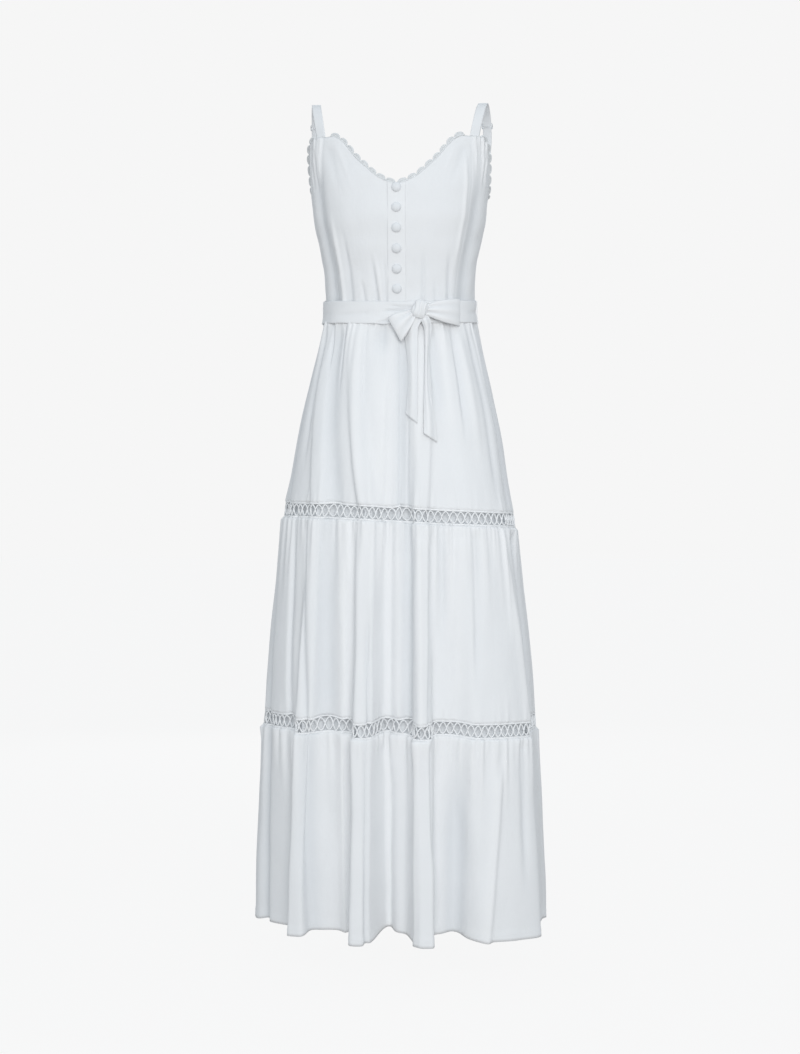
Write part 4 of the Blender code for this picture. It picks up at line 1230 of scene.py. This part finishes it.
def edging_piece(edging, side, way):
    line, run, out, away = edge_frame(edging, way)
    width = run[-1] / edging.fans

    def bend(flat, lift=0.0):
        """Points of a flat drawing, x along the edge and y away from the cloth, in space."""
        place, up, front = (read_along(flat[:, 0], run, part) for part in (line, away, out))
        return place + up * flat[:, 1:] + front * (lift - LACE_SINK)

    arches, fine = [], []
    for fan in range(edging.fans):
        arch, eyelet, spokes = fan_lines(width * FAN_WIDTH)
        shift = np.array([(fan + 0.5) * width, 0.0])
        arches.append((bend(arch + shift), False))
        fine.append((bend(eyelet + shift, 0.0002), True))
        fine.extend((bend(spoke + shift), False) for spoke in spokes)
    base = np.stack([np.linspace(0, run[-1], 90), np.full(90, FAN_BASE * 0.5)], -1)
    arches.append((bend(base, 0.0003), False))
    name = f"{edging.name}_edging_{side}"
    thick = cords(f"{name}_arch", arches, FAN_ARCH_RADIUS, edging_lace)
    thin = cords(f"{name}_spoke", fine, FAN_SPOKE_RADIUS, edging_lace, 5)
    piece = join(name, [thick, thin])
    stand_for(piece, "lace", f"{edging.node}_{side}")
    print(name, "has", edging.fans, "fans of", round(width * 1000, 1), "mm")


for edging in EDGINGS:
    for side, way in SIDES:
        edging_piece(edging, side, way)

# %% [markdown]
# ## Straps and sliders
# Each strap is a narrow band of doubled cloth, stitched along both edges, that runs over the
# shoulder to the back. Its slider is a small ring of metal with a bar across the middle.

# %% Straps and sliders
StrapPoint = namedtuple("StrapPoint", "out fore height twist")
STRAP_ROUTE = table(
    StrapPoint,
    (0.1240, 0.0722, -0.0657, 36),
    (0.1300, 0.0560, -0.0330, 22),
    (0.1355, 0.0300, -0.0080, 8),
    (0.1385, 0.0020, 0.0008, 0),
    (0.1420, -0.0270, -0.0110, 0),
    (0.1440, -0.0520, -0.0420, -6),
    (0.1400, -0.0650, -0.0900, -18),
    (0.1280, -0.0688, -0.1522, -34),
)
STRAP_WIDTH = 0.0145
STRAP_THICKNESS = 0.0013
STRAP_SPREAD = 0.25
STRAP_STEPS = 96
STRAP_EDGE = np.array([0.0, 0.6, 0.9, 1.0, 1.0, 1.0, 0.9, 0.6, 0.0])
SLIDER_SHARE = 0.6563
SLIDER_HEIGHT = 0.0092
SLIDER_CLEAR = 0.0012
SLIDER_CORNER = 0.0016
SLIDER_FACE = 0.0022
SLIDER_BACK = 0.0010
SLIDER_WIRE = 0.0008


def read_route(route, steps):
    """Each column of a route's table, read smoothly at even steps along its rows."""
    rows = np.linspace(0, len(route) - 1, steps + 1)
    order = range(len(route))
    return {name: smooth_through(order, column(route, name), rows) for name in route[0]._fields}


def strap(side, way):
    read = read_route(STRAP_ROUTE, STRAP_STEPS)
    centres = np.stack([read["out"] * way, -read["fore"], read["height"]], axis=-1)
    twist = np.radians(read["twist"])
    across = np.stack([np.cos(twist), np.sin(twist) * way, np.zeros_like(twist)], axis=-1)
    widths = STRAP_WIDTH * (1 + STRAP_SPREAD * np.linspace(1, 0, len(centres)) ** 4)
    wide = np.linspace(-1, 1, len(STRAP_EDGE))
    out = unit(np.cross(across, np.gradient(centres, axis=0)))
    half = across * widths[:, None] / 2
    place = centres[:, None] + half[:, None] * wide[None, :, None]
    proud = STRAP_THICKNESS * (0.75 + 0.25 * STRAP_EDGE)
    place = place + out[:, None] * proud[None, :, None]
    length = run_along(centres)
    wide = wide * STRAP_WIDTH / 2
    piece = grid_mesh(f"shoulder_strap_{side}", place, wide, length, False, cloth)
    thicken(piece, STRAP_THICKNESS)
    stand_for(piece, "cloth", f"strap_{side}")
    lines = [(place[1:-1, i] + out[1:-1] * STITCH_LIFT, False) for i in (1, -2)]
    stitches(f"strap_stitches_{side}", lines, "strap")
    station = int(SLIDER_SHARE * STRAP_STEPS)
    slider(side, centres[station], across[station], unit(centres[station + 1] - centres[station]))
    print("strap", side, "is", round(float(length[-1]), 3), "m long")


def slider(side, middle, across, along):
    """A rounded ring of wire round the strap, and a bar behind it."""
    out = np.cross(across, along)
    half_wide = STRAP_WIDTH / 2 + SLIDER_CLEAR
    half_tall = SLIDER_HEIGHT / 2
    ring, legs = [], []
    for quarter, (x, y) in enumerate(((1, 1), (-1, 1), (-1, -1), (1, -1))):
        for step in range(5):
            turn = math.pi / 2 * (quarter + step / 4)
            wide = x * (half_wide - SLIDER_CORNER) + SLIDER_CORNER * math.cos(turn)
            tall = y * (half_tall - SLIDER_CORNER) + SLIDER_CORNER * math.sin(turn)
            ring.append(middle + across * wide + along * tall + out * SLIDER_FACE)
    bar = [middle + across * x * half_wide - out * SLIDER_BACK for x in (-0.96, 0.0, 0.96)]
    for x in (-1, 1):
        for y in (-0.55, 0.55):
            foot = middle + across * x * half_wide + along * y * half_tall
            legs.append(([foot + out * SLIDER_FACE, foot - out * SLIDER_BACK], False))
    lines = [(ring, True), (bar, False)] + legs
    piece = cords(f"strap_slider_{side}", lines, SLIDER_WIRE, satin_metal, 8)
    stand_for(piece, "slider_metal", f"slider_{side}")


for side, way in SIDES:
    strap(side, way)

# %% [markdown]
# ## Belt
# A sash of the same cloth, folded flat, lies over the waist seam and passes through a thread
# loop at each side. Towards the knot its creases run together.

# %% Belt
BELT_WIDTH = 0.036
BELT_OUT = 0.0044
BELT_THICKNESS = 0.0013
BELT_COLUMNS = 420
BELT_ROWS = 20
BELT_DENT = 0.0006
LOOP_STEPS = 13
LOOP_OVERHANG = 0.0032
LOOP_BEND = 0.0035
LOOP_CLEAR = 0.0009
LOOP_THREAD = 0.0007
BeltCrease = namedtuple("BeltCrease", "turn_from turn_to height_from height_to depth width ease")
BELT_CREASES = table(
    BeltCrease,
    (-17, 17, 0.0020, 0.0050, -0.0030, 0.0018, 10),
    (-22, 15, -0.0180, -0.0050, -0.0034, 0.0020, 9),
    (-10, 18, 0.0110, 0.0080, -0.0018, 0.0018, 10),
    (-14, 18, -0.0080, 0.0000, 0.0020, 0.0030, 10),
    (-60, -25, -0.0060, -0.0010, -0.0009, 0.0040, 15),
    (60, 100, -0.0040, 0.0030, -0.0010, 0.0035, 15),
    (140, 190, 0.0050, 0.0020, -0.0010, 0.0035, 20),
    (200, 255, -0.0050, -0.0070, -0.0010, 0.0035, 20),
)


def belt_point(turn, level, out):
    """A point outside the waist, on the smooth oval that the belt lies on."""
    angle = np.radians(turn)
    reach = oval_reach(turn, level) + out
    height = level - at_level(HANGS, "dip", WAIST) * np.cos(angle)
    return np.stack([reach * np.sin(angle), -reach * np.cos(angle), height], axis=-1)


def belt():
    turns = -90 + 360 * np.arange(BELT_COLUMNS) / BELT_COLUMNS
    heights = np.linspace(-BELT_WIDTH / 2, BELT_WIDTH / 2, BELT_ROWS + 1)
    turn, height = np.meshgrid(turns, heights)
    relief = np.zeros(turn.shape)
    for crease in BELT_CREASES:
        share = (turn - crease.turn_from) / (crease.turn_to - crease.turn_from)
        line = crease.height_from + (crease.height_to - crease.height_from) * share
        near = (turn - crease.turn_from) / crease.ease, (crease.turn_to - turn) / crease.ease
        fade = smooth_step(near[0]) * smooth_step(near[1] * 3)
        relief += crease.depth * fade * np.exp(-(((height - line) / crease.width) ** 2))
    place = belt_point(turn, WAIST + height, BELT_OUT)
    out = unit(place * (1, 1, 0))
    edge = np.abs(height) / (BELT_WIDTH / 2)
    relief += BELT_DENT * (rumple(place * (1, 1, 1.6), 0.022, 61) - edge ** 6)
    place = place + out * relief[..., None]
    place[..., 2] += BELT_DENT * edge * rumple(place, 0.03, 62)
    length = float(np.linalg.norm(np.diff(place[0], axis=0), axis=1).sum())
    across = np.linspace(0, length, BELT_COLUMNS + 1)
    # painted shade in the belt's creases and towards its edges, and painted highlight where it
    # rises
    hollow = relief_painted_shading(relief * 2)
    piece = grid_mesh("belt_sash", place, across, heights, True, cloth, hollow)
    thicken(piece, BELT_THICKNESS)
    stand_for(piece, "cloth", "belt")
    print("belt is", round(length, 3), "m round")


def belt_loop(side, way):
    """A chain of thread from above the belt to below it."""
    end = BELT_WIDTH / 2 + LOOP_OVERHANG
    heights = np.linspace(end, -end, LOOP_STEPS)
    over = np.clip((end - np.abs(heights)) / LOOP_BEND, 0, 1) ** 0.5
    reach = oval_reach(np.full(LOOP_STEPS, SIDE_SEAM), WAIST + heights)
    reach += (BELT_OUT + LOOP_CLEAR) * over
    reach[4:9] = reach[4:9].max()
    lines = []
    for y in (-LOOP_THREAD, LOOP_THREAD):
        lines.append(([(way * x, y, WAIST + z) for x, z in zip(reach, heights)], False))
    piece = cords(f"thread_loop_{side}", lines, LOOP_THREAD, thread)
    stand_for(piece, "cloth", f"belt_loop_{side}")


belt()
for side, way in SIDES:
    belt_loop(side, way)

# %% [markdown]
# ## Bow
# The belt's ends are tied to the right of the middle: a wrapped knot, a wide loop to the
# right, a shorter one that hangs to the left, and two tails with slanted ends. Each is a
# ribbon along a route that is drawn in the front view. The loops stand off the belt and fold
# back behind themselves. The tails are dropped on the skirt with rays, so that they rest on
# its folds instead of hanging before them.

# %% Bow
RoutePoint = namedtuple("RoutePoint", "x z stand_off width tilt")
LOOP_RIGHT = table(
    RoutePoint,
    (0.0450, -0.3490, 0.0105, 0.016, -90),
    (0.0540, -0.3492, 0.0140, 0.022, -90),
    (0.0660, -0.3495, 0.0175, 0.031, -90),
    (0.0800, -0.3500, 0.0180, 0.038, -90),
    (0.0955, -0.3500, 0.0155, 0.043, -90),
    (0.1005, -0.3500, 0.0120, 0.044, -90),
    (0.0955, -0.3500, 0.0088, 0.042, -90),
    (0.0780, -0.3500, 0.0085, 0.034, -90),
    (0.0500, -0.3495, 0.0080, 0.016, -90),
)
LOOP_LEFT = table(
    RoutePoint,
    (0.0290, -0.3510, 0.0105, 0.012, 145),
    (0.0220, -0.3570, 0.0140, 0.020, 140),
    (0.0140, -0.3640, 0.0175, 0.030, 133),
    (0.0055, -0.3720, 0.0190, 0.038, 125),
    (-0.0010, -0.3785, 0.0170, 0.043, 120),
    (-0.0035, -0.3810, 0.0135, 0.044, 119),
    (-0.0010, -0.3790, 0.0110, 0.042, 120),
    (0.0100, -0.3690, 0.0100, 0.032, 130),
    (0.0270, -0.3530, 0.0090, 0.012, 145),
)
TAIL_LONG = table(
    RoutePoint,
    (0.0420, -0.3530, 0.0100, 0.010, 0),
    (0.0462, -0.3640, 0.0090, 0.015, 8),
    (0.0502, -0.3790, 0.0060, 0.012, 3),
    (0.0492, -0.4000, 0.0030, 0.009, 0),
    (0.0482, -0.4300, 0.0024, 0.007, 2),
    (0.0484, -0.4620, 0.0024, 0.008, 5),
    (0.0504, -0.4930, 0.0026, 0.012, 6),
    (0.0533, -0.5250, 0.0030, 0.017, 6),
    (0.0552, -0.5550, 0.0036, 0.021, 5),
)
TAIL_SHORT = table(
    RoutePoint,
    (0.0330, -0.3540, 0.0100, 0.008, 0),
    (0.0300, -0.3650, 0.0080, 0.018, -12),
    (0.0235, -0.3790, 0.0050, 0.021, -8),
    (0.0240, -0.3980, 0.0025, 0.020, 0),
    (0.0262, -0.4300, 0.0020, 0.016, 3),
    (0.0272, -0.4620, 0.0020, 0.015, 0),
    (0.0262, -0.4950, 0.0020, 0.017, -3),
    (0.0250, -0.5240, 0.0022, 0.019, -3),
)
TAIL_SLANT = 0.016
Ribbon = namedtuple("Ribbon", "name route slant cup pleats node")
RIBBONS = [
    Ribbon("bow_right_loop", LOOP_RIGHT, 0.0, 0.0040, 2.6, "bow_loop_right"),
    Ribbon("bow_left_loop", LOOP_LEFT, 0.0, 0.0045, 2.2, "bow_loop_left"),
    Ribbon("long_tail", TAIL_LONG, -TAIL_SLANT, 0.0022, 1.3, "bow_tail_long"),
    Ribbon("short_tail", TAIL_SHORT, -TAIL_SLANT, 0.0018, 1.3, "bow_tail_short"),
]
SLANT_ROWS = 5
RIBBON_STEPS = 72
RIBBON_CROSS = 20
RIBBON_THICKNESS = 0.0010
PLEAT_DEPTH = 0.0020
RIBBON_CUT = 0.044


def waist_front(x, z):
    """The y of the smooth belt's face at a place of the front view."""
    half = at_level(SECTIONS, "half_width", WAIST)
    depth = at_level(SECTIONS, "front_depth", WAIST)
    power = at_level(SECTIONS, "squareness", WAIST)
    return -depth * (1 - np.clip(np.abs(x / half), 0, 0.98) ** power) ** (1 / power) + 0 * z


def skirt_front(points, tree):
    """The y of the skirt or belt at each place, found with rays from the front."""
    found = []
    for x, _, z in points.reshape(-1, 3):
        hit = tree.ray_cast(Vector((x, -1.0, z)), Vector((0.0, 1.0, 0.0)))[0]
        found.append(hit.y)
    return np.array(found).reshape(points.shape[:-1])


def soften(values, times):
    """Evens out a grid of heights, rows along the ribbon."""
    for _ in range(times):
        rows = np.concatenate([values[:1], values, values[-1:]])
        values = (rows[:-2] + 2 * rows[1:-1] + rows[2:]) / 4
        columns = np.concatenate([values[:, :1], values, values[:, -1:]], axis=1)
        values = (columns[:, :-2] + 2 * columns[:, 1:-1] + columns[:, 2:]) / 4
    return values


def bow_ribbon(ribbon, tree):
    read = read_route(ribbon.route, RIBBON_STEPS)
    tilt = np.radians(read["tilt"])
    flat = np.zeros(len(tilt))
    centres = np.stack([read["x"], flat, read["z"]], axis=-1)
    across = np.stack([np.cos(tilt), flat, np.sin(tilt)], axis=-1)
    side = np.linspace(-1, 1, RIBBON_CROSS + 1)
    reach = side[None] * read["width"][:, None] / 2
    place = centres[:, None] + across[:, None] * reach[..., None]
    if ribbon.slant:
        on_skirt = soften(skirt_front(place, tree), 4)
        lift = ribbon.cup * (0.3 + 0.7 * np.cos(side * 1.5))
        facing = 1.0
    else:
        on_skirt = waist_front(place[..., 0], place[..., 2])
        lift = ribbon.cup * (1 - side ** 2)
        outwards = 1 if ribbon.route is LOOP_RIGHT else -1
        facing = np.sign(np.gradient(read["x"]))[:, None] * outwards
    full = read["width"] / read["width"].max()
    pleats = np.cos(side[None] * math.pi * ribbon.pleats + 0.6)
    pleats = PLEAT_DEPTH * pleats * np.clip(1.25 - full, 0, 1)[:, None]
    rise = lift[None] * full[:, None] * facing + pleats
    place[..., 1] = on_skirt - read["stand_off"][:, None] - rise
    share = (side * ribbon.slant / 2)[:, None] * np.array([0.0, 0.0, 1.0])
    for row in range(SLANT_ROWS):
        place[-1 - row] += share * (1 - row / SLANT_ROWS)
    length = run_along(place[:, RIBBON_CROSS // 2])
    wide = side * RIBBON_CUT / 2
    # painted shade in the pleats' troughs, and painted highlight on their ridges
    hollow = relief_painted_shading(pleats * 3)
    piece = grid_mesh(ribbon.name, place, wide, length, False, cloth, hollow)
    thicken(piece, RIBBON_THICKNESS)
    stand_for(piece, "cloth", ribbon.node)
    cut_area = float((read["width"][1:] * np.diff(length)).sum())


KNOT_PLACE = (0.0375, -0.3475)
KNOT_OUT = 0.0135
KNOT_RADII = (0.0132, 0.0092, 0.0150)
KNOT_TILT = math.radians(26)
KNOT_FACING = math.radians(11)
KNOT_ROWS = 48
KNOT_COLUMNS = 72
KNOT_RIDGE = 0.10


def knot():
    """The wrap round the bow's middle: a pinched cushion with creases slanting up it."""
    x, z = KNOT_PLACE
    centre = np.array([x, float(waist_front(x, z)) - KNOT_OUT, z])
    level = np.array([math.cos(KNOT_FACING), math.sin(KNOT_FACING), 0.0])
    out = np.array([math.sin(KNOT_FACING), -math.cos(KNOT_FACING), 0.0])
    upright = np.array([0.0, 0.0, 1.0])
    right = level * math.cos(KNOT_TILT) - upright * math.sin(KNOT_TILT)
    up = level * math.sin(KNOT_TILT) + upright * math.cos(KNOT_TILT)
    height = np.linspace(-0.997, 0.997, KNOT_ROWS + 1)[:, None]
    turn = np.linspace(0, 2 * math.pi, KNOT_COLUMNS, endpoint=False)[None]
    girth = (1 - np.abs(height) ** 3.0) ** 0.42
    x, y = girth * np.cos(turn), girth * -np.sin(turn)
    slope = x * 1.3 + height * 0.25 + 0.12 * np.sin(height * 3)
    ridges = np.cos(slope * 8.5) * 0.6 + np.cos(slope * 15.0 + 1.0) * 0.4
    pinch = 1 - 0.10 * np.exp(-((height * 2.0) ** 2))
    x, y = x * (1 + 0.03 * ridges) * pinch, y * (1 + KNOT_RIDGE * ridges * girth)
    place = centre + x[..., None] * right * KNOT_RADII[0] - y[..., None] * out * KNOT_RADII[1]
    place = place + height[..., None] * up * KNOT_RADII[2]
    around = np.linspace(0, 0.07, KNOT_COLUMNS + 1)
    # painted shade in the wrap's creases, and painted highlight on its ridges
    hollow = relief_painted_shading(ridges * girth * 0.006)
    piece = grid_mesh("bow_wrap", place, around, height[:, 0] * 0.013, True, cloth, hollow)
    stand_for(piece, "cloth", "bow_knot")


behind = BVHTree.FromObject(
    bpy.data.objects["upper_tier"], bpy.context.evaluated_depsgraph_get()
)
for ribbon in RIBBONS:
    bow_ribbon(ribbon, behind)
knot()

# %% [markdown]
# ## Floor and light
# The dress hangs a hand's breadth above a pale floor, in a white room: a soft blue-white sky
# gives half of the light, and one large soft lamp beside the camera gives the rest, so that
# the sides of the skirt fall off into a light grey. A weaker lamp behind the dress lights its
# back for the other views. The floor glows as the room does.

# %% Studio
FLOOR_LEVEL = -1.42
FLOOR_REACH = 40.0
SQUARE = ((-1, -1), (1, -1), (1, 1), (-1, 1))
ROOM_WHITE = 0.922
ROOM_LIGHT = (0.86, 0.935, 1.0)
ROOM_STRENGTH = 0.65
FLOOR_WHITE = 0.946
FLOOR_GLOW = 0.40
FLOOR_SHADOW_SHARE = 0.06
LAMP_POWER = 52.0
BACK_LAMP_POWER = 17.0
LAMP_SIZE = 2.2

world = bpy.data.worlds.new("white_room")
bpy.context.scene.world = world
world.use_nodes = True
sky = Socket(world.node_tree, None)
for old in list(world.node_tree.nodes):
    world.node_tree.nodes.remove(old)
seen = sky.node("ShaderNodeBackground", Color=shade((1.0, 1.0, 1.0)), Strength=ROOM_WHITE)
lit = sky.node("ShaderNodeBackground", Color=shade(ROOM_LIGHT), Strength=ROOM_STRENGTH)
is_seen = sky.node("ShaderNodeLightPath")
both = sky.node("ShaderNodeMixShader", i0=is_seen, i1=lit, i2=seen)
sky.node("ShaderNodeOutputWorld", Surface=both)
bpy.context.scene.view_settings.view_transform = "Standard"


def soft_lamp(name, power, place, tilt, turn):
    """A wide round lamp that doesn't show itself. At 0 degrees of turn it faces the back wall."""
    lamp = add_object(name, bpy.data.lights.new(name, "AREA"))
    lamp.data.shape = "DISK"
    lamp.data.size = LAMP_SIZE
    lamp.data.energy = power
    lamp.location = place
    lamp.rotation_euler = (math.radians(tilt), 0.0, math.radians(turn))
    lamp.visible_camera = False


soft_lamp("soft_lamp", LAMP_POWER, (0.45, -3.3, 0.05), 78, 8)
soft_lamp("lamp_behind", BACK_LAMP_POWER, (-0.6, 3.4, 0.2), 76, 190)


def floor():
    mesh = bpy.data.meshes.new("floor")
    corners = [(x * FLOOR_REACH, y * FLOOR_REACH, FLOOR_LEVEL) for x, y in SQUARE]
    mesh.from_pydata(corners, [], [(0, 1, 2, 3)])
    pale = bpy.data.materials.new("pale_floor")
    pale.use_nodes = True
    start = Socket(pale.node_tree, None)
    plain = start.node("ShaderNodeBsdfDiffuse", Color=shade((0.9, 0.9, 0.9)))
    is_seen = start.node("ShaderNodeLightPath")
    glow = start.node("ShaderNodeEmission", Strength=FLOOR_GLOW)
    seen_glow = start.node("ShaderNodeEmission", Strength=FLOOR_WHITE)
    both = start.node("ShaderNodeMixShader", i0=is_seen, i1=glow, i2=seen_glow)
    surface = start.node("ShaderNodeMixShader", i0=1 - FLOOR_SHADOW_SHARE, i1=plain, i2=both)
    plug(surface, pale.node_tree.nodes["Material Output"], "Surface")
    mesh.materials.append(pale)
    add_object("floor", mesh)


floor()
print("floor at", FLOOR_LEVEL)
